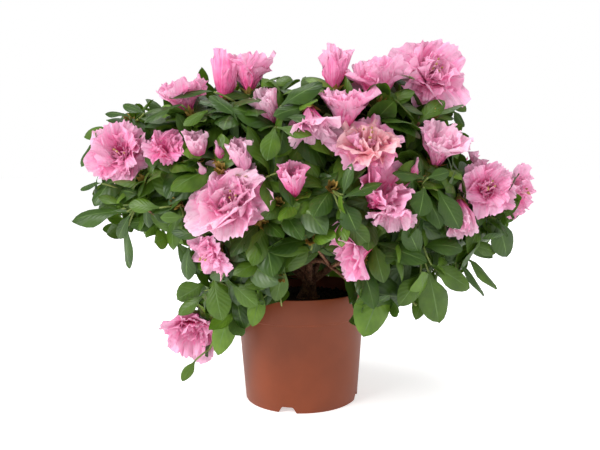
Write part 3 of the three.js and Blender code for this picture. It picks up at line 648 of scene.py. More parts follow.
def tube(points, radii, sides):
    """A round rod along a path, closed at both ends."""
    rings = []
    for place, radius, (side, across, _) in zip(points, radii, cross_frames(points)):
        for i in range(sides):
            angle = 2 * math.pi * i / sides
            rings.append(place + radius * (math.cos(angle) * side + math.sin(angle) * across))
    faces = []
    for step in range(len(points) - 1):
        low = step * sides
        for i in range(sides):
            after = (i + 1) % sides
            faces.append((low + i, low + after, low + sides + after, low + sides + i))
    faces.append(tuple(range(sides))[::-1])
    faces.append(tuple(range((len(points) - 1) * sides, len(points) * sides)))
    return np.array(rings), faces


def add_tube(pile, points, radii, sides, finish):
    rings, faces = tube(points, radii, sides)
    pile.add(rings, faces, finish)


def object_from(bm, name, material, smooth=True):
    """Makes an object of a bmesh drawn in millimetres."""
    bmesh.ops.recalc_face_normals(bm, faces=bm.faces)
    bmesh.ops.scale(bm, vec=(MM, MM, MM), verts=bm.verts)
    for face in bm.faces:
        face.smooth = smooth
    mesh = bpy.data.meshes.new(name)
    bm.to_mesh(mesh)
    bm.free()
    mesh.materials.append(material)
    return place_piece(name, mesh)


# The crown's layout, by the rule that the model was grown by.

def heading_of(azimuth):
    angle = math.radians(azimuth)
    return point(math.sin(angle), -math.cos(angle), 0)


def dome_reach(azimuth, height):
    """How far from the pot's axis the dome's surface stands."""
    direction = heading_of(azimuth)
    half = CROWN_RISE if height > CROWN_MIDDLE else CROWN_DROP
    share = min((height - CROWN_MIDDLE) / half, TOPMOST_SHARE)
    across = math.hypot(direction[0] / CROWN_HALF_WIDTH, direction[1] / CROWN_HALF_DEPTH)
    return math.sqrt(max(0, 1 - share * share)) / across


def crown_point(azimuth, height, reach=None):
    return heading_of(azimuth) * (reach or dome_reach(azimuth, height)) + UP * height


def crown_normal(place):
    half = CROWN_RISE if place[2] > CROWN_MIDDLE else CROWN_DROP
    rise = (place[2] - CROWN_MIDDLE) / half ** 2
    return unit(point(place[0] / CROWN_HALF_WIDTH ** 2, place[1] / CROWN_HALF_DEPTH ** 2, rise))


def depth_in_dome(place):
    """Below 1 inside the dome, and above it outside."""
    half = CROWN_RISE if place[2] > CROWN_MIDDLE else CROWN_DROP
    shares = (place[0] / CROWN_HALF_WIDTH, place[1] / CROWN_HALF_DEPTH, (place[2] - CROWN_MIDDLE) / half)
    return math.hypot(*shares)


class Shoot:
    """A shoot tip, which ends in a blossom or in a bare whorl of leaves."""

    def __init__(self, azimuth, height, bears, reach=None):
        self.centre = crown_point(azimuth, height, reach)
        self.bears = bears
        self.blossom = BLOSSOMS.get(bears)
        self.tone = None
        self.size = 1
        normal = crown_normal(self.centre)
        if self.blossom:
            tilt = math.radians(self.blossom["tilt"])
            self.face_to(unit(normal * math.cos(tilt) + UP * math.sin(tilt)))
        else:
            self.face = unit(mix(normal, UP, LEAFY_RISE))
            self.tip = self.centre - LEAFY_TIP_DEPTH * normal

    def face_to(self, face):
        self.face = face
        self.tip = self.centre - FOOT_SHARE * self.size * self.blossom["depth"] * face

    def turn(self, right, up, size, tone):
        """Turns the blossom on its calyx, to the right as it is seen from outside and up, and sizes it."""
        cos, sin = math.cos(math.radians(right)), math.sin(math.radians(right))
        x, y, z = self.face
        level = unit(point(x * cos - y * sin, x * sin + y * cos, 0))
        rise = math.asin(np.clip(z, -1, 1)) + math.radians(up)
        self.size = size
        self.tone = tone
        self.face_to(level * math.cos(rise) + UP * math.sin(rise))


def model_draws():
    """The model's own repeatable draws, so that the back shoots stand where its solids have them."""
    factor, step, modulus = 9301, 49297, 233280
    state = MODEL_SEED
    while True:
        state = (state * factor + step) % modulus
        yield state / modulus


def all_shoots():
    """Every mass's name, what carries it and its shoots."""
    plan = []
    for name, (parent, *shoots) in {**FRONT_MASSES, **TOP_MASSES}.items():
        made = [Shoot(*shoot) for shoot in shoots]
        for i, shoot in enumerate(made):
            if (name, i) in TURNS:
                shoot.turn(*TURNS[name, i])
        plan.append((name, parent, made))
    draws = model_draws()
    bears = 0
    for name, (parent, azimuth, height, count, share) in BACK_MASSES.items():
        turn = 2 * math.pi * next(draws)
        degrees = math.degrees(BACK_SHOOT_SPREAD / (share * dome_reach(azimuth, height)))
        made = []
        for i in range(count):
            angle = turn + 2 * math.pi * i / count
            aside = azimuth + degrees * math.cos(angle)
            up = height + BACK_SHOOT_SPREAD * math.sin(angle)
            made.append(Shoot(aside, up, BACK_BEARS[bears % len(BACK_BEARS)], share * dome_reach(aside, up)))
            bears += 1
        plan.append((name, parent, made))
    return plan


class Limb:
    """The trunk or a bough: its path, its radius at both ends and how many boughs leave it."""

    def __init__(self, curve, start_radius, end_radius):
        self.curve = curve
        self.start_radius = start_radius
        self.end_radius = end_radius
        self.seats = 0

    def radius_at(self, share):
        return mix(self.start_radius, self.end_radius, share)


class Trunk(Limb):
    """A limb that flares towards the soil."""

    def radius_at(self, share):
        flare = TRUNK_FOOT_RADIUS - TRUNK_FORK_RADIUS
        return TRUNK_FORK_RADIUS + flare * math.exp(-share / FLARE_HEIGHT) - share * 0.3


def seat_on(limb, hub):
    """How far along its carrier a bough leaves it: up the trunk in turn, or further and further out."""
    limb.seats += 1
    if isinstance(limb, Trunk):
        return LOWEST_SEAT + SEAT_RUN * ((limb.seats * SEAT_TURN) % 1)
    reach = np.linalg.norm(hub - limb.curve.at(0)) / limb.curve.length
    return min(max(SEAT_SHARE * reach, 0.3), 0.5) + SEAT_SPACING * (limb.seats - 1)


class Mass:
    """One branch of the crown: its bough, the stem that carries on from it, and its shoots' twigs."""

    def __init__(self, name, carrier, shoots):
        self.name = name
        self.shoots = shoots
        hub = mix(FORK, np.mean([shoot.tip for shoot in shoots], axis=0), HUB_SHARE)
        hub[2] = max(hub[2], RIM_HEIGHT + RIM_CLEARANCE)
        start = carrier.curve.at(seat_on(carrier, hub))
        reach = np.linalg.norm(hub - start)
        bend = mix(start, hub, 0.5) + UP * BOUGH_BEND * reach
        self.hub = hub
        self.along = unit(hub - bend)
        tip = hub - self.along * STEM_LENGTH
        base = BOUGH_RADIUS if isinstance(carrier, Trunk) else SIDE_BOUGH_RADIUS
        self.bough = Limb(Curve(start, bend, tip), base, BOUGH_TIP_RADIUS)
        self.bough_tip = tip

    def grow_twigs(self):
        def turned_away(shoot):
            return -unit(shoot.tip - self.hub).dot(self.along)
        for i, shoot in enumerate(sorted(self.shoots, key=turned_away)):
            start = self.hub - self.along * (1 + TWIG_SPACING * STEM_LENGTH * i / len(self.shoots))
            bend = shoot.tip - shoot.face * TWIG_BEND * np.linalg.norm(start - shoot.tip)
            shoot.twig = Curve(start, mix(bend, self.hub, 0.25), shoot.tip)


def lay_out():
    """Grows the trunk, then each bough and its shoots' twigs, then the side twigs."""
    foot = point(TRUNK_X, 0, GROUND)
    trunk = Trunk(Curve(foot, foot + UP * TRUNK_HEIGHT / 2, FORK), TRUNK_FOOT_RADIUS, TRUNK_FORK_RADIUS)
    limbs = {"trunk": trunk}
    masses = []
    for name, parent, shoots in all_shoots():
        mass = Mass(name, limbs[parent], shoots)
        limbs[name] = mass.bough
        masses.append(mass)
    for mass in masses:
        mass.grow_twigs()
    for carrier, share, azimuth, height, reach, bears, sag in SIDE_TWIGS:
        name, number = (carrier, None) if isinstance(carrier, str) else carrier
        mass = next(mass for mass in masses if mass.name == name)
        curve = mass.bough.curve if number is None else mass.shoots[number].twig
        shoot = Shoot(azimuth, height, bears, reach)
        start = curve.at(share)
        bend = mix(mix(start, shoot.tip, 0.5), shoot.tip - SIDE_TWIG_BEND * shoot.face, 0.5) - sag * UP
        shoot.twig = Curve(start, bend, shoot.tip)
        shoot.tone = "pale"
        mass.shoots.append(shoot)
    return trunk, masses


# Only what stands nearer the front than this can lie in the openings round the front of the crown. A low
# blossom is left out where its petals, so far ahead of its foot, would stand in an opening.
FRONT_DEPTH = -30
PETAL_REACH = 30
LOW_BLOSSOMS = 200


def in_opening(place):
    """Whether a place is in one of the gaps that give the crown its outline."""
    x, y, z = place
    over_soil = -14 < x < 38 and y < -20 and z < 146
    under_left = x < -85 and z < 150 and (z > 112 or y > FRONT_DEPTH)
    dip_in_top = -30 < x < 30 and z > 292 + 0.11 * y or x > 20 and z > 304 + 0.13 * y
    if y > FRONT_DEPTH:
        return over_soil or under_left or dip_in_top
    above_left = x < -62 and z > 278 + 0.09 * y or x < -104 and z > 273 + 0.07 * y
    under_far_left = (x < -98 and 88 < z < 172 or x < -106 and z < 90 or x < -118 and 88 < z < 178
                      or x < -160 and 178 < z < 238)
    below_lowest_left = x < 0 and z < (106 if x > -36 else 88 if x > -60 else 64 if x > -84 else 40)
    below_right = x > 66 and z < 100 + 0.6 * (x - 66) or x > 38 and z < 86
    beside_top_right = x > 122 and z > 212 or x > 112 and z > 258
    return (over_soil or under_left or dip_in_top or above_left or under_far_left or below_lowest_left
            or below_right or beside_top_right)


trunk, masses = lay_out()
shoots = [shoot for mass in masses for shoot in mass.shoots]
flowering = [shoot for shoot in shoots if shoot.blossom
             and (shoot.tip[2] > LOW_BLOSSOMS or not in_opening(shoot.tip + PETAL_REACH * shoot.face))]


# The pot.

def pot_radius(height):
    return mix(FOOT_RADIUS, RIM_RADIUS, height / RIM_HEIGHT)


def turned_piece(profile, sides):
    """A closed bmesh spun about the pot's axis from a profile of (radius, height) pairs."""
    bm = bmesh.new()
    corners = [bm.verts.new((radius, 0, height)) for radius, height in profile]
    edges = [bm.edges.new(pair) for pair in zip(corners, corners[1:])]
    bmesh.ops.spin(bm, geom=corners + edges, angle=2 * math.pi, steps=sides, axis=(0, 0, 1),
                   cent=(0, 0, 0), use_merge=True)
    bmesh.ops.remove_doubles(bm, verts=bm.verts, dist=0.001)
    return bm


def make_pot():
    """The pot is turned from its profile, with soft edges. Its foot ring is notched and its floor drilled."""
    edge = 0.8
    lip = 0.5
    floor_top = FOOT_RECESS + FLOOR_THICKNESS
    ring_inner = FOOT_RADIUS - FOOT_RING_WIDTH
    inside = pot_radius(floor_top) - BAND_STEP - WALL
    groove = pot_radius(BAND_HEIGHT) - BAND_STEP
    bm = turned_piece([
        (0, 0),
        (CENTRE_FOOT_RADIUS, 0),
        (CENTRE_FOOT_RADIUS + 2, FOOT_RECESS),
        (ring_inner - edge, FOOT_RECESS),
        (ring_inner, 0),
        (FOOT_RADIUS - edge, 0),
        (FOOT_RADIUS - 0.3 * edge, 0.3 * edge),
        (FOOT_RADIUS, edge),
        (mix(FOOT_RADIUS, groove, 0.5), BAND_HEIGHT / 2),
        (groove - 0.05, BAND_HEIGHT - 0.8),
        (groove, BAND_HEIGHT - 0.15),
        (groove + 0.25, BAND_HEIGHT + 0.15),
        (pot_radius(BAND_HEIGHT) - 0.1, BAND_HEIGHT + 0.5),
        (pot_radius(BAND_HEIGHT), BAND_HEIGHT + 1.2),
        (RIM_RADIUS - 0.05, RIM_HEIGHT - lip),
        (RIM_RADIUS - 0.4 * lip, RIM_HEIGHT - 0.1),
        (RIM_RADIUS - lip, RIM_HEIGHT),
        (RIM_RADIUS - WALL + lip, RIM_HEIGHT),
        (RIM_RADIUS - WALL, RIM_HEIGHT - lip),
        (inside, floor_top),
        (CENTRE_FOOT_RADIUS + 2 - FLOOR_THICKNESS, floor_top),
        (CENTRE_FOOT_RADIUS - FLOOR_THICKNESS, FLOOR_THICKNESS),
        (0, FLOOR_THICKNESS),
    ], POT_SIDES)
    pot = object_from(bm, "moulded_pot", moulded_polypropylene())
    cutter = object_from(notches_and_drains(), "notch_and_drain_cutter", BARK, smooth=False)
    cut = pot.modifiers.new("notches_and_drains", "BOOLEAN")
    cut.operation = "DIFFERENCE"
    cut.solver = "EXACT"
    cut.object = cutter
    bake_modifiers(pot)
    bpy.data.objects.remove(cutter)
    soften(pot, SHARP_EDGE)
    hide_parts("pot")


def notches_and_drains():
    """What is cut from the pot: the notches in its foot ring, and a drain hole behind each of them."""
    half_foot = NOTCH_FOOT_WIDTH / 2
    half_top = NOTCH_TOP_WIDTH / 2
    right_side = [(half_foot + 0.5, -0.5), (half_top + 1, FOOT_RECESS - 0.9), (half_top - 0.2, FOOT_RECESS)]
    outline = right_side + [(-x, z) for x, z in reversed(right_side)]
    drain_reach = (CENTRE_FOOT_RADIUS + FOOT_RADIUS - FOOT_RING_WIDTH) / 2
    middle = Matrix.Translation((0, -drain_reach, FOOT_RECESS + FLOOR_THICKNESS / 2))
    cutters = bmesh.new()
    for i in range(NOTCH_COUNT):
        turn = Matrix.Rotation(math.radians(NOTCH_AZIMUTH + 360 * i / NOTCH_COUNT), 4, "Z")
        corners = [cutters.verts.new((x, -FOOT_RADIUS - 3, z)) for x, z in outline]
        face = cutters.faces.new(corners)
        grown = bmesh.ops.extrude_face_region(cutters, geom=[face])["geom"]
        ends = [item for item in grown if isinstance(item, bmesh.types.BMVert)]
        bmesh.ops.translate(cutters, vec=(0, 9, 0), verts=ends)
        bmesh.ops.transform(cutters, matrix=turn, verts=corners + ends)
        bmesh.ops.create_cone(cutters, cap_ends=True, segments=32, radius1=DRAIN_RADIUS, radius2=DRAIN_RADIUS,
                              depth=3 * FLOOR_THICKNESS, matrix=turn @ middle)
    return cutters


def bake_modifiers(piece):
    """Applies a piece's modifiers to its own mesh."""
    graph = bpy.context.evaluated_depsgraph_get()
    mesh = bpy.data.meshes.new_from_object(piece.evaluated_get(graph))
    piece.modifiers.clear()
    piece.data = mesh


def soften(piece, degrees):
    """Shades a piece smooth but for its edges that are sharper than so many degrees."""
    bm = bmesh.new()
    bm.from_mesh(piece.data)
    for edge in bm.edges:
        edge.smooth = len(edge.link_faces) == 2 and edge.calc_face_angle(0) < math.radians(degrees)
    for face in bm.faces:
        face.smooth = True
    bm.to_mesh(piece.data)
    bm.free()


def soil_radius(height):
    return pot_radius(height) - BAND_STEP - WALL - SOIL_GAP


def make_soil():
    """The soil fills the pot. Its top is crumbly, a little domed, and lowest along the pot's wall."""
    bottom = FOOT_RECESS + FLOOR_THICKNESS + 0.3
    side = soil_radius(SOIL_HEIGHT)
    rings = [(side * share, SOIL_HEIGHT - 1.6 * share ** 4) for share in np.linspace(1, 0, 26)]
    bm = turned_piece([(0, bottom), (soil_radius(bottom), bottom), *rings], SOIL_SIDES)
    for vert in bm.verts:
        radius = math.hypot(vert.co.x, vert.co.y)
        if vert.co.z > SOIL_HEIGHT - 3 and radius < side - 0.5:
            lumps = noise.noise(vert.co * 0.16) * 1.6 + noise.noise(vert.co * 0.45) * 0.8
            vert.co.z += lumps - 0.4
    peat_finish = damp_peat()
    soil = object_from(bm, "peat", peat_finish)
    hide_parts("soil")
    scatter_crumbs(peat_finish)


def scatter_crumbs(peat_finish):
    """Loose crumbs on the soil: round lumps with dented, squashed shapes of their own."""
    ball = bmesh.new()
    bmesh.ops.create_icosphere(ball, subdivisions=1, radius=1)
    shape = np.array([vert.co for vert in ball.verts])
    faces = corners_of(ball)
    ball.free()
    crumbs = Pile()
    for _ in range(CRUMB_COUNT):
        radius = soil_radius(SOIL_HEIGHT) * math.sqrt(dice.random()) * 0.97
        angle = between(0, 2 * math.pi)
        size = between(0.5, 1.9) * between(0.5, 1)
        dents = np.array([[dice.random() for _ in range(3)] for _ in range(len(shape))])
        squash = np.array((size, size * between(0.6, 1), size * between(0.5, 0.9)))
        place = point(radius * math.cos(angle), radius * math.sin(angle), SOIL_HEIGHT + between(-0.9, 0.5))
        crumbs.add(shape * (0.75 + 0.5 * dents) * squash + place, faces, 0)
    crumbs.build("peat_crumbs", [peat_finish], "potting_soil")


# The trunk and boughs.

def grow_limb(bm, limb, sides, spacing):
    """Extrudes a ring along a limb, tapering with it, and closes both ends."""
    count = max(4, round(limb.curve.length / spacing))
    shares = [i / count for i in range(count + 1)]
    points = [limb.curve.at(share) for share in shares]
    frames = []
    for place, (side, across, heading), share in zip(points, cross_frames(points), shares):
        radius = limb.radius_at(share)
        matrix = Matrix.Identity(4)
        for column, axis in enumerate((side * radius, across * radius, heading * radius, place)):
            for row in range(3):
                matrix[row][column] = axis[row]
        frames.append(matrix)
    ring = bmesh.ops.create_circle(bm, cap_ends=True, radius=1, segments=sides)["verts"]
    edges = list({edge for vert in ring for edge in vert.link_edges})
    bmesh.ops.transform(bm, matrix=frames[0], verts=ring)
    for before, after in zip(frames, frames[1:]):
        grown = bmesh.ops.extrude_edge_only(bm, edges=edges)["geom"]
        ring = [item for item in grown if isinstance(item, bmesh.types.BMVert)]
        new = set(ring)
        edges = [item for item in grown if isinstance(item, bmesh.types.BMEdge) and set(item.verts) <= new]
        bmesh.ops.transform(bm, matrix=after @ before.inverted(), verts=ring)
    bmesh.ops.holes_fill(bm, edges=edges, sides=0)


def make_wood():
    """The trunk and boughs in one skin of bark, with its flakes and ridges drawn out along the limbs."""
    bm = bmesh.new()
    grow_limb(bm, trunk, 28, 1.2)
    for mass in masses:
        grow_limb(bm, mass.bough, 14, 2.2)
    bmesh.ops.recalc_face_normals(bm, faces=bm.faces)
    for vert in bm.verts:
        thickness = 1 if np.linalg.norm(np.array(vert.co) - FORK) < 30 else 0.45
        ridges = noise.noise(Vector((vert.co.x * 0.9, vert.co.y * 0.9, vert.co.z * 0.3)))
        flakes = noise.noise(vert.co * 1.3)
        vert.co += vert.normal * thickness * (0.55 * ridges + 0.25 * flakes)
    wood = object_from(bm, "bark_of_trunk_and_boughs", BARK)
    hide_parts("trunk", *[f"bough_{mass.name}" for mass in masses])


# The leaves.

def grid(columns, rows):
    """A flat grid's own (across, along) places, from -1 to 1 and from 0 to 1, and its faces."""
    bm = bmesh.new()
    bmesh.ops.create_grid(bm, x_segments=columns, y_segments=rows, size=0.5)
    places = np.array([(2 * vert.co.x, vert.co.y + 0.5) for vert in bm.verts])
    faces = corners_of(bm)
    bm.free()
    return places, faces


LEAF_GRID, LEAF_FACES = grid(5, 8)
LEAF_ACROSS = np.sign(LEAF_GRID[:, 0]) * np.interp(
    np.abs(LEAF_GRID[:, 0]), (0, 0.2, 0.6, 1), (0, 0.04, 0.56, 1))
LEAF_ALONG = 1 - (1 - LEAF_GRID[:, 1]) ** 1.3
LEAF_PLACES = np.column_stack((0.5 + 0.5 * LEAF_ACROSS, LEAF_ALONG))
IN_RIB = [bool(max(abs(LEAF_ACROSS[corner]) for corner in face) < 0.1) for face in LEAF_FACES]


# Even steps along a leaf or a petal, at which its bend is worked out.
FINE = np.linspace(0, 1, 40)


def bent_line(slopes):
    """How far out and how far up a line of length 1 has come, step by step, at the given slopes."""
    steps = len(slopes) - 1
    out = np.concatenate(([0], np.cumsum(np.cos(slopes[1:])))) / steps
    up = np.concatenate(([0], np.cumsum(np.sin(slopes[1:])))) / steps
    return out, up


def leaf_outline(along):
    """Half the width of an azalea leaf along its length, as a share of its widest."""
    widest = 0.57
    rising = np.sin(0.5 * math.pi * np.clip((along - 0.06) / (widest - 0.06), 0, 1)) ** 1.1
    falling = np.cos(0.5 * math.pi * np.clip((along - widest) / (1 - widest), 0, 1)) ** 0.68
    stalk = 0.09 * (1 - np.clip(along / 0.2, 0, 1))
    return np.maximum(np.where(along < widest, rising, falling), stalk + 0.015)


def leaf_shape(most_droop, most_twist):
    """One leaf of length 1, growing along y with its upper side facing z."""
    droop = math.radians(between(24, most_droop))
    lift = math.radians(between(10, 24))
    fold = between(0.1, 0.34)
    twist = math.radians(between(-most_twist, most_twist))
    wave = between(0.008, 0.022)
    phase = between(0, 2 * math.pi)
    width = 0.5 * LEAF_WIDTH * between(0.88, 1.12) * leaf_outline(LEAF_ALONG)
    run, rise = bent_line(lift - droop * FINE ** 1.3)
    x = LEAF_ACROSS * width
    y = np.interp(LEAF_ALONG, FINE, run)
    z = fold * np.abs(x) - 2.4 * x ** 2 + wave * np.sin(9 * LEAF_ALONG + phase) * LEAF_ACROSS
    z -= 0.008 * (np.abs(LEAF_ACROSS) < 0.1)
    turn = twist * LEAF_ALONG
    x, z = x * np.cos(turn) - z * np.sin(turn), x * np.sin(turn) + z * np.cos(turn)
    return np.column_stack((x, y, z + np.interp(LEAF_ALONG, FINE, rise)))


LEAF_SHAPES = [leaf_shape(62, 22) for _ in range(LEAF_VARIANTS)]
LONE_SHAPES = [leaf_shape(40, 5) for _ in range(LONE_VARIANTS)]

# The balls that leaves keep out of: three in each blossom and one in front of each lone leaf.
BLOSSOM_BALLS = [(shoot.tip + shoot.face * ahead * shoot.size * shoot.blossom["depth"],
                  share * shoot.size * max(shoot.blossom["width"], 12))
                 for shoot in flowering for ahead, share in ((0.62, 0.4), (1.2, 0.46), (1.75, 0.48))]
LONE_BALLS = [(point(x, y, z), radius) for x, y, z, radius in CLEAR_PLACES]
for x, y, z, tip_x, tip_y, tip_z, _ in LONE_LEAVES:
    middle = mix(point(x, y, z), point(tip_x, tip_y, tip_z), 0.5)
    LONE_BALLS.append((middle + LONE_LEAF_AHEAD * crown_normal(middle), LONE_LEAF_CLEARANCE))
BALL_CENTRES = np.array([centre for centre, _ in BLOSSOM_BALLS + LONE_BALLS])
BALL_RADII = np.array([radius for _, radius in BLOSSOM_BALLS + LONE_BALLS])
BOX_LOW = np.array(cad_low) / MM - BOX_MARGIN
BOX_HIGH = np.array(cad_high) / MM + BOX_MARGIN


def depth_at_skirt(place):
    """As depth_in_dome, but with the space straight below the skirt counted in."""
    return depth_in_dome(point(place[0], place[1], max(place[2], SKIRT_HEIGHT)))


def is_clear(places):
    """Whether a leaf's places keep out of the blossoms and the pot, and within the crown's reach."""
    for place in places:
        if np.any(np.linalg.norm(BALL_CENTRES - place, axis=1) < BALL_RADII):
            return False
        radius = math.hypot(place[0], place[1])
        if place[2] < RIM_HEIGHT + POT_CLEARANCE and radius < pot_radius(place[2]) + POT_CLEARANCE:
            return False
        if in_opening(place):
            return False
        inside = np.all(place > BOX_LOW) and np.all(place < BOX_HIGH)
        if not inside or depth_at_skirt(place) > LEAF_REACH:
            return False
    return True


def leaf_finishes(tone):
    return [RIB if in_rib else tone for in_rib in IN_RIB]


def add_leaf(pile, root, axis, spoke, length, opening, is_young):
    """One leaf off a twig. Where it has no room it opens more or less, and is left out if it still hasn't."""
    shape = dice.choice(LEAF_SHAPES)
    tone = FRESH if is_young else dice.choice(LEAF_DEALT)
    for turn in (0, 16, -18, 32, -34):
        angle = math.radians(opening + turn)
        direction = unit(axis * math.cos(angle) + spoke * math.sin(angle))
        upper = unit(axis + 0.5 * UP)
        across = unit(np.cross(direction, upper))
        normal = np.cross(across, direction)
        points = root + length * (shape[:, :1] * across + shape[:, 1:2] * direction + shape[:, 2:] * normal)
        middle, end = points[len(points) // 2], points[-3]
        if is_clear((middle, end, mix(middle, end, 0.5))):
            pile.add(points, LEAF_FACES, leaf_finishes(tone), LEAF_PLACES)
            return


def add_lone_leaf(twigs, leaves, root, tip, seen_width):
    """A leaf from its root to its tip, on a thin stalk from the nearest twig."""
    shape = dice.choice(LONE_SHAPES)
    end = shape[np.argmax(LEAF_ALONG - 0.01 * np.abs(LEAF_ACROSS))]
    bow = math.atan2(end[2], end[1])
    along = unit(tip - root)
    out = mix(crown_normal(mix(root, tip, 0.5)), point(0, -1, 0), 0.75)
    out = unit(out - along * out.dot(along))
    length = np.linalg.norm(tip - root)
    fullness = seen_width / (LONE_LEAF_WIDTH * length)
    roll = math.acos(min(1, math.sqrt(fullness)))
    aside = np.cross(along, out)
    out = out * math.cos(roll) + aside * math.sin(roll) * (1 if aside[2] > 0 else -1)
    forward = along * math.cos(bow) - out * math.sin(bow)
    normal = along * math.sin(bow) + out * math.cos(bow)
    scale = length / math.hypot(end[1], end[2])
    widen = max(fullness, math.sqrt(fullness))
    across = np.cross(forward, normal)
    points = root + scale * (widen * shape[:, :1] * across + shape[:, 1:2] * forward + shape[:, 2:] * normal)
    # Lighter greens low down and darker greens higher up, by height alone.
    tone = dice.choice((MIDDLE, MIDDLE, FRESH) if root[2] < LIGHTER_GREENS_BELOW else (DARK, DARK, MIDDLE))
    leaves.add(points, LEAF_FACES, leaf_finishes(tone), LEAF_PLACES)
    spots = [shoot.twig.at(share) for shoot in shoots for share in (0.3, 0.45, 0.6, 0.75, 0.9, 1)]
    nearest = min(spots, key=lambda spot: np.linalg.norm(spot - root))
    stalk = Curve(nearest, mix(nearest, root, 0.6) - 2 * forward, root + 0.5 * forward)
    add_twig(twigs, stalk, SIDE_SHOOT_RADIUS, STALK_TIP_RADIUS, GREEN, 6)


def add_whorl(pile, twig, bears_blossom, count, low_count, length, first_back):
    """Leaves in a spiral round a shoot's tip, the youngest short and upright, with a few further down."""
    turn = between(0, 360)
    young = dice.choice((0, 0, 0, 1, 2))
    for i in range(count + low_count):
        low = i >= count
        back = first_back + LEAF_SPACING * min(i, count)
        if low:
            back += between(4, 7) * (i - count + 1)
        share = max(1 - back / twig.length, 0.15)
        axis = twig.heading(share)
        spoke = spoke_round(axis, math.radians(turn + GOLDEN_ANGLE * i))
        youth = 1 - i / count if not low else 0
        opening = (62 if bears_blossom else 44) + (34 if bears_blossom else 46) * (1 - youth) + between(-9, 9)
        size = length * between(0.82, 1.1) * (1 - 0.38 * youth ** 2) * (0.86 if low else 1)
        add_leaf(pile, twig.at(share) - axis * 0.5, axis, spoke, size, opening, i < young)


def add_twig(pile, curve, start_radius, end_radius, finish, sides=7):
    """A rod that tapers along a curve."""
    count = max(4, round(curve.length / TWIG_STEP))
    shares = np.linspace(0, 1, count + 1)
    radii = mix(start_radius, end_radius, shares)
    add_tube(pile, [curve.at(share) for share in shares], radii, sides, finish)


def make_foliage():
    """Twigs, then finer side shoots between them, and the whorls of leaves that they all end in."""
    twigs = Pile()
    leaves = [Pile()]
    centres = [shoot.tip for shoot in shoots]

    def room():
        if leaves[-1].triangles() > FULL_PIECE:
            leaves.append(Pile())
        return leaves[-1]

    for mass in masses:
        stem = Curve(mass.bough_tip, mix(mass.bough_tip, mass.hub, 0.5), mass.hub)
        add_twig(twigs, stem, BOUGH_TIP_RADIUS, STEM_TIP_RADIUS, WOODY, 10)
        for share in (0.5, 0.7, 0.9):
            grow_side_shoot(twigs, room(), mass.bough.curve, mass.hub, share + between(-0.06, 0.06), centres)
        for shoot in mass.shoots:
            finish = GREEN if dice.random() < GREEN_SHARE else WOODY
            add_twig(twigs, shoot.twig, TWIG_RADIUS, TWIG_TIP_RADIUS, finish)
            back = 3 if shoot.blossom else 0.5
            add_whorl(room(), shoot.twig, bool(shoot.blossom), TOP_WHORL, LOW_LEAVES,
                      LEAF_LENGTH * between(0.9, 1.1), back)
            for i in range(SIDE_SHOOTS):
                share = 0.42 + 0.18 * i + between(-0.05, 0.05)
                grow_side_shoot(twigs, room(), shoot.twig, shoot.tip, share, centres)
    for x, y, z, tip_x, tip_y, tip_z, seen_width in LONE_LEAVES:
        add_lone_leaf(twigs, room(), point(x, y, z), point(tip_x, tip_y, tip_z), seen_width)
    piece = twigs.build("twigs", TWIG_FINISHES, "bark")
    names = [f"mass_{mass.name}" for mass in masses]
    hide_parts(*names)
    for i, pile in enumerate(leaves):
        pile.build(f"leaves_{i + 1}", LEAF_FINISHES, "foliage_and_blossom")


def grow_side_shoot(twigs, leaves, carrier, top, share, centres):
    """A finer shoot off a twig or bough, where the dome and the shoots round it leave it room."""
    start = carrier.at(share)
    axis = carrier.heading(share)
    for _ in range(SIDE_SHOOT_TRIES):
        spoke = spoke_round(axis, between(0, 2 * math.pi))
        direction = unit(axis * 0.7 + spoke * between(0.6, 1.2) + UP * 0.15)
        tip = start + direction * between(*SIDE_SHOOT_LENGTHS)
        nearest = min(np.linalg.norm(tip - centre) for centre in centres)
        inside = tip[2] < top[2] + 6 and depth_at_skirt(tip) < SIDE_SHOOT_REACH
        if inside and nearest > SIDE_SHOOT_SPACING and is_clear([tip]):
            centres.append(tip)
            curve = Curve(start, start + direction * 8 + axis * 6, tip)
            add_twig(twigs, curve, SIDE_SHOOT_RADIUS, SIDE_SHOOT_TIP_RADIUS, GREEN, 6)
            length = LEAF_LENGTH * between(0.68, 0.95)
            add_whorl(leaves, curve, False, SIDE_WHORL, SIDE_LOW_LEAVES, length, 0.5)
            return


# The blossoms.

PETAL_GRID, PETAL_FACES = grid(40, 9)
PETAL_ACROSS = PETAL_GRID[:, 0]
PETAL_ALONG = 1 - (1 - PETAL_GRID[:, 1]) ** 1.3
PETAL_PLACES = np.column_stack((0.5 + 0.5 * PETAL_ACROSS, PETAL_ALONG))

# The whorls of a blossom from outside in: petal count, length, half width, how far each petal leans out
# from the blossom's axis at its end, in degrees, and how crumpled and how flat it is.
WHORLS = {
    "double": ((5, 36, 18, 84, 0.9, 5), (5, 32, 16, 62, 1.2, 5), (4, 26, 12, 42, 1.4, 5),
               (4, 19, 9, 20, 1.5, 3)),
    "open": ((5, 33, 16, 78, 0.9, 5), (4, 28, 14, 52, 1.1, 5), (4, 20, 10, 28, 1.4, 3)),
    "small": ((5, 26, 12, 70, 0.8, 4), (4, 22, 10, 46, 1, 4), (3, 16, 7, 26, 1.2, 3)),
    "rising": ((5, 37, 17, 50, 0.9, 4), (4, 33, 14, 32, 1, 4), (3, 24, 10, 16, 1.2, 3)),
    "hanging": ((5, 37, 17, 56, 0.9, 4), (4, 33, 14, 38, 1, 4), (3, 24, 10, 18, 1.2, 3)),
    "half": ((4, 34, 14, 8, 0.8, 1), (3, 32, 11, 2, 1, 1)),
    "bud": ((4, 19, 5.5, -34, 0.1, 0),),
}
THROAT_RADIUS = 1.4
CLOSED = ("half", "bud")
WITH_STAMENS = ("double", "open")


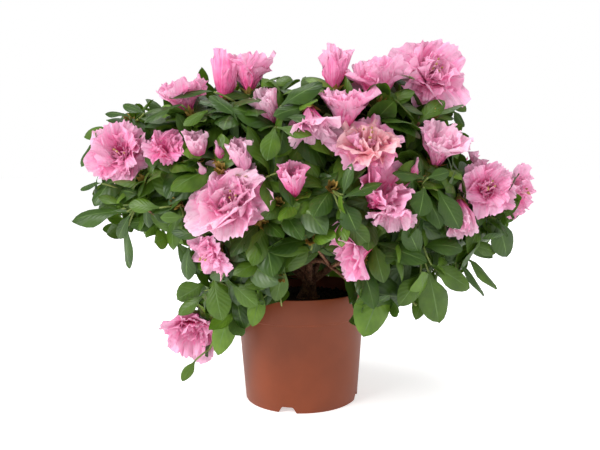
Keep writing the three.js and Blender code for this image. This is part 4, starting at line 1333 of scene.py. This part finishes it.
def petal_points(length, half_width, lean, frill, flatness):
    """One frilled petal's points in its blossom's frame: out from the axis, round it and up it.

    Its slope is measured from the axis. A flat petal spreads straight out to its sides, and one that
    isn't wraps round the blossom."""
    opening = np.clip(FINE / 0.62, 0, 1)
    opening = opening * opening * (3 - 2 * opening)
    first = 34 if lean < 15 else 9
    angle = np.radians(first + (lean - first) * opening)
    rise, run = bent_line(angle)
    lobes = 0.07 * np.sin(between(3, 6) * PETAL_ACROSS + between(0, 6.3))
    uneven = 2 * np.sin(5 * PETAL_ACROSS)
    teeth = 0.03 * np.sin(between(25, 31) * PETAL_ACROSS + between(0, 6.3) + uneven)
    rounding = 0.3 * np.abs(PETAL_ACROSS) ** 2.4 * PETAL_ALONG
    along = PETAL_ALONG * (1 - rounding + (lobes + teeth) * PETAL_ALONG ** 2)
    spread = mix(0.24, 1, np.sin(0.5 * math.pi * np.clip(PETAL_ALONG / 0.72, 0, 1)) ** 1.1)
    if lean < 0:
        spread = spread * (1 + 0.02 * lean * PETAL_ALONG ** 3)
    across = PETAL_ACROSS * half_width * spread
    lean_here = np.interp(along, FINE, angle)
    radius = np.interp(along, FINE, run * length + THROAT_RADIUS)
    height = np.interp(along, FINE, rise * length)
    rim = np.maximum(PETAL_ALONG, np.abs(PETAL_ACROSS) ** 2 * np.minimum(1, 1.8 * PETAL_ALONG))
    folds = np.sin(between(2.6, 4.4) * PETAL_ACROSS + between(0, 6.3) + between(-2, 2) * PETAL_ALONG)
    ruffle = np.sin(between(8, 11) * PETAL_ACROSS + between(0, 6.3) + 4 * PETAL_ALONG)
    crinkle = np.sin(between(19, 25) * PETAL_ACROSS + between(0, 6.3) + 7 * PETAL_ALONG)
    crease = np.exp(-(PETAL_ACROSS / 0.16) ** 2) * between(0.3, 1.3)
    out = frill * (3.2 * folds * PETAL_ALONG ** 1.5 + 2.1 * ruffle * rim ** 2.4 + 1.1 * crinkle * rim ** 4)
    out = out - crease * PETAL_ALONG * (1.2 - PETAL_ALONG)
    out = out + between(-0.02, 0.12) * across ** 2 / half_width
    radius = radius - out * np.cos(lean_here)
    height = height + out * np.sin(lean_here)
    bow = np.maximum(radius, 1) + flatness
    turn = across / bow
    return np.column_stack((bow * np.cos(turn) - flatness, bow * np.sin(turn), height))


def blossom_frame(face):
    """Two directions across a blossom that faces a way, and that way."""
    side = square_to(face, 0.95)
    return side, np.cross(face, side), face


def put(points, axes, at):
    """Points in a blossom's frame, as they stand in the crown."""
    side, across, face = axes
    return at + points[:, :1] * side + points[:, 1:2] * across + points[:, 2:] * face


def spun(points, degrees):
    """Points in a blossom's frame, turned round its axis."""
    angle = math.radians(degrees)
    x = points[:, 0] * math.cos(angle) - points[:, 1] * math.sin(angle)
    y = points[:, 0] * math.sin(angle) + points[:, 1] * math.cos(angle)
    return np.column_stack((x, y, points[:, 2]))


def add_blossom(petals, parts, shoot, tone):
    """Whorls of petals round the shoot's tip. A few petals, and a salmon blossom's outer ones, are rose."""
    axes = blossom_frame(shoot.face)
    spin = between(0, 360)
    size = shoot.size * between(0.95, 1.03)
    closed = shoot.bears in CLOSED
    for layer, (count, length, half_width, lean, frill, flatness) in enumerate(WHORLS[shoot.bears]):
        for i in range(count):
            grown = size * between(0.88, 1.1)
            tilt = lean + between(-13, 13) * (0.3 if closed else 1)
            points = petal_points(length * grown, half_width * grown, tilt, frill * math.sqrt(size), flatness)
            azimuth = spin + 360 * (i + 0.5 * layer) / count + between(-7, 7)
            keeps_tone = dice.random() < OWN_TONE_SHARE and (layer or tone != SALMON)
            finish = tone if keeps_tone else ROSE
            petals.add(put(spun(points, azimuth), axes, shoot.tip), PETAL_FACES, finish, PETAL_PLACES)
    if shoot.bears in WITH_STAMENS:
        add_stamens(parts, shoot, axes)
    add_calyx(parts, shoot, axes)


def add_stamens(parts, shoot, axes):
    """A few thin curved threads from the throat, each with a plump anther at its end."""
    for _ in range(dice.randint(2, 5)):
        lean = math.radians(between(3, 14))
        angle = between(0, 2 * math.pi)
        length = shoot.size * between(15, 21)
        foot = point(1.2 * math.cos(angle), 1.2 * math.sin(angle), 4)
        out = point(math.cos(angle), math.sin(angle), 0)
        tip = foot + length * (UP * math.cos(lean) + out * math.sin(lean))
        bend = mix(foot, tip, 0.6) + out * between(-1.5, 1.5)
        line = put(Curve(foot, bend, tip).points[::6], axes, shoot.tip)
        add_tube(parts, line, [0.35] * len(line), 5, FILAMENT)
        anther = [line[-1] + shoot.face * up for up in (-0.9, 0.2, 1.2)]
        add_tube(parts, anther, [0.45, 0.85, 0.4], 6, ANTHER)


def add_calyx(parts, shoot, axes):
    """Five narrow green sepals and the papery bud scales below them, on a short stalk."""
    small = 0.7 if shoot.bears == "bud" else 1
    stalk = [shoot.tip + shoot.face * up for up in (-5, -1.5, 1.5)]
    add_tube(parts, stalk, [1.2, 1.5, 2.2 * small], 8, SEPAL)
    closed = shoot.bears in CLOSED
    for i in range(5):
        length = small * (between(11, 14) if closed else between(8, 11))
        add_scale(parts, shoot, axes, 72 * i + between(-8, 8), length, 2.1, 16 if closed else 26, SEPAL)
    for i in range(6):
        azimuth = 60 * i + between(-12, 12)
        add_scale(parts, shoot, axes, azimuth, between(6, 9), 2.3, between(34, 60), BUD_SCALE)


def add_resting_bud(parts, shoot):
    """The fat bud that a leafy shoot ends in, wrapped in golden papery scales."""
    axes = blossom_frame(unit(mix(shoot.twig.heading(1), shoot.face, 0.5)))
    for layer, (lean, length) in enumerate(((30, 6), (16, 9), (4, 11))):
        for i in range(4):
            azimuth = 90 * i + 45 * layer + between(-10, 10)
            add_scale(parts, shoot, axes, azimuth, length * between(0.9, 1.1), 2.4, lean, BUD_SCALE)


SCALE_GRID, SCALE_FACES = grid(2, 4)
SCALE_ACROSS, SCALE_ALONG = SCALE_GRID.T


def add_scale(parts, shoot, axes, azimuth, length, half_width, lean, finish):
    """A narrow pointed sepal or bud scale, bent out from the calyx. Bud scales start lower down."""
    angle = math.radians(lean)
    x = SCALE_ACROSS * half_width * np.sin(math.pi * np.clip(0.25 + 0.72 * SCALE_ALONG, 0, 1))
    radius = 1.6 + length * SCALE_ALONG * math.sin(angle) * (0.6 + 0.6 * SCALE_ALONG)
    height = length * SCALE_ALONG * math.cos(angle) - (2.4 if finish == BUD_SCALE else 0)
    points = np.column_stack((radius - 0.06 * x ** 2, x, height))
    parts.add(put(spun(points, azimuth), axes, shoot.tip), SCALE_FACES, finish)


def make_blossoms():
    """Every blossom, and the resting buds of most leafy shoots."""
    petals = [Pile()]
    parts = Pile()
    for i, shoot in enumerate(flowering):
        tone = PETAL_TONES.index(shoot.tone or TONES[i % len(TONES)])
        if petals[-1].triangles() > FULL_PIECE:
            petals.append(Pile())
        add_blossom(petals[-1], parts, shoot, tone)
    for shoot in shoots:
        if not shoot.blossom and dice.random() < RESTING_BUD_SHARE:
            if shoot.tip[2] > LOWEST_RESTING_BUD and not in_opening(shoot.tip):
                add_resting_bud(parts, shoot)
    for i, pile in enumerate(petals):
        pile.build(f"petals_{i + 1}", PETAL_FINISHES, "foliage_and_blossom")
    parts.build("calyxes_and_stamens", PART_FINISHES, "foliage_and_blossom")


# The studio.

def make_studio():
    """A plain pale floor and three softboxes, with an even light all round."""
    bm = bmesh.new()
    bmesh.ops.create_grid(bm, x_segments=1, y_segments=1, size=6000)
    paper = new_material("white_studio_paper")
    shader = add(paper, "ShaderNodeBsdfPrincipled", {
        "Base Color": linear("#FBFBFB"), "Roughness": 0.9,
        "Emission Color": (1, 1, 1, 1), "Emission Strength": 0.56,
    })
    finish_material(paper, shader)
    bmesh.ops.scale(bm, vec=(MM, MM, MM), verts=bm.verts)
    mesh = bpy.data.meshes.new("floor")
    bm.to_mesh(mesh)
    bm.free()
    mesh.materials.append(paper)
    floor = bpy.data.objects.new("floor", mesh)
    bpy.context.scene.collection.objects.link(floor)

    world = bpy.data.worlds.new("studio")
    world.use_nodes = True
    world.node_tree.nodes.clear()
    backdrop = add(world, "ShaderNodeBackground", {"Color": (1, 1, 1, 1), "Strength": 1})
    room = add(world, "ShaderNodeBackground", {"Color": (1, 1, 1, 1), "Strength": 0.46})
    seen = add(world, "ShaderNodeLightPath").outputs["Is Camera Ray"]
    both = add(world, "ShaderNodeMixShader", {0: seen, 1: room, 2: backdrop})
    add(world, "ShaderNodeOutputWorld", {"Surface": both})
    bpy.context.scene.world = world
    bpy.context.scene.view_settings.view_transform = "Standard"

    add_softbox("key", (-1.45, -1.15, 1.2), 0.9, 37)
    add_softbox("fill", (1.4, -1.0, 0.9), 1.3, 5)
    add_softbox("top", (0.1, 0.3, 1.8), 1.2, 16)


def add_softbox(name, place, size, power):
    """A square softbox that faces the middle of the plant."""
    light = bpy.data.lights.new(name, "AREA")
    light.size = size
    light.energy = power
    softbox = bpy.data.objects.new(name, light)
    softbox.location = place
    target = Vector((0, 0, 0.17))
    softbox.rotation_euler = (target - Vector(place)).to_track_quat("-Z", "Y").to_euler()
    bpy.context.scene.collection.objects.link(softbox)


# The camera stands 62 cm in front of the pot, a little above its rim, and looks slightly down.
CAMERA_DISTANCE = 0.62
CAMERA_HEIGHT = 0.2244
CAMERA_PITCH = 0.1055
CAMERA_ROLL = -0.0099
FOCAL_PIXELS = 681.3
PHOTO_WIDTH = 600
SENSOR_WIDTH = 36


def make_camera():
    data = bpy.data.cameras.new("camera")
    data.sensor_width = SENSOR_WIDTH
    data.lens = SENSOR_WIDTH * FOCAL_PIXELS / PHOTO_WIDTH
    camera = bpy.data.objects.new("camera", data)
    camera.matrix_world = (Matrix.Translation((0, -CAMERA_DISTANCE, CAMERA_HEIGHT))
                           @ Matrix.Rotation(math.pi / 2 - CAMERA_PITCH, 4, "X")
                           @ Matrix.Rotation(CAMERA_ROLL, 4, "Z"))
    bpy.context.scene.collection.objects.link(camera)
    bpy.context.scene.camera = camera


make_camera()
make_studio()
make_pot()
make_soil()
make_wood()
make_foliage()
make_blossoms()

bpy.context.view_layer.update()
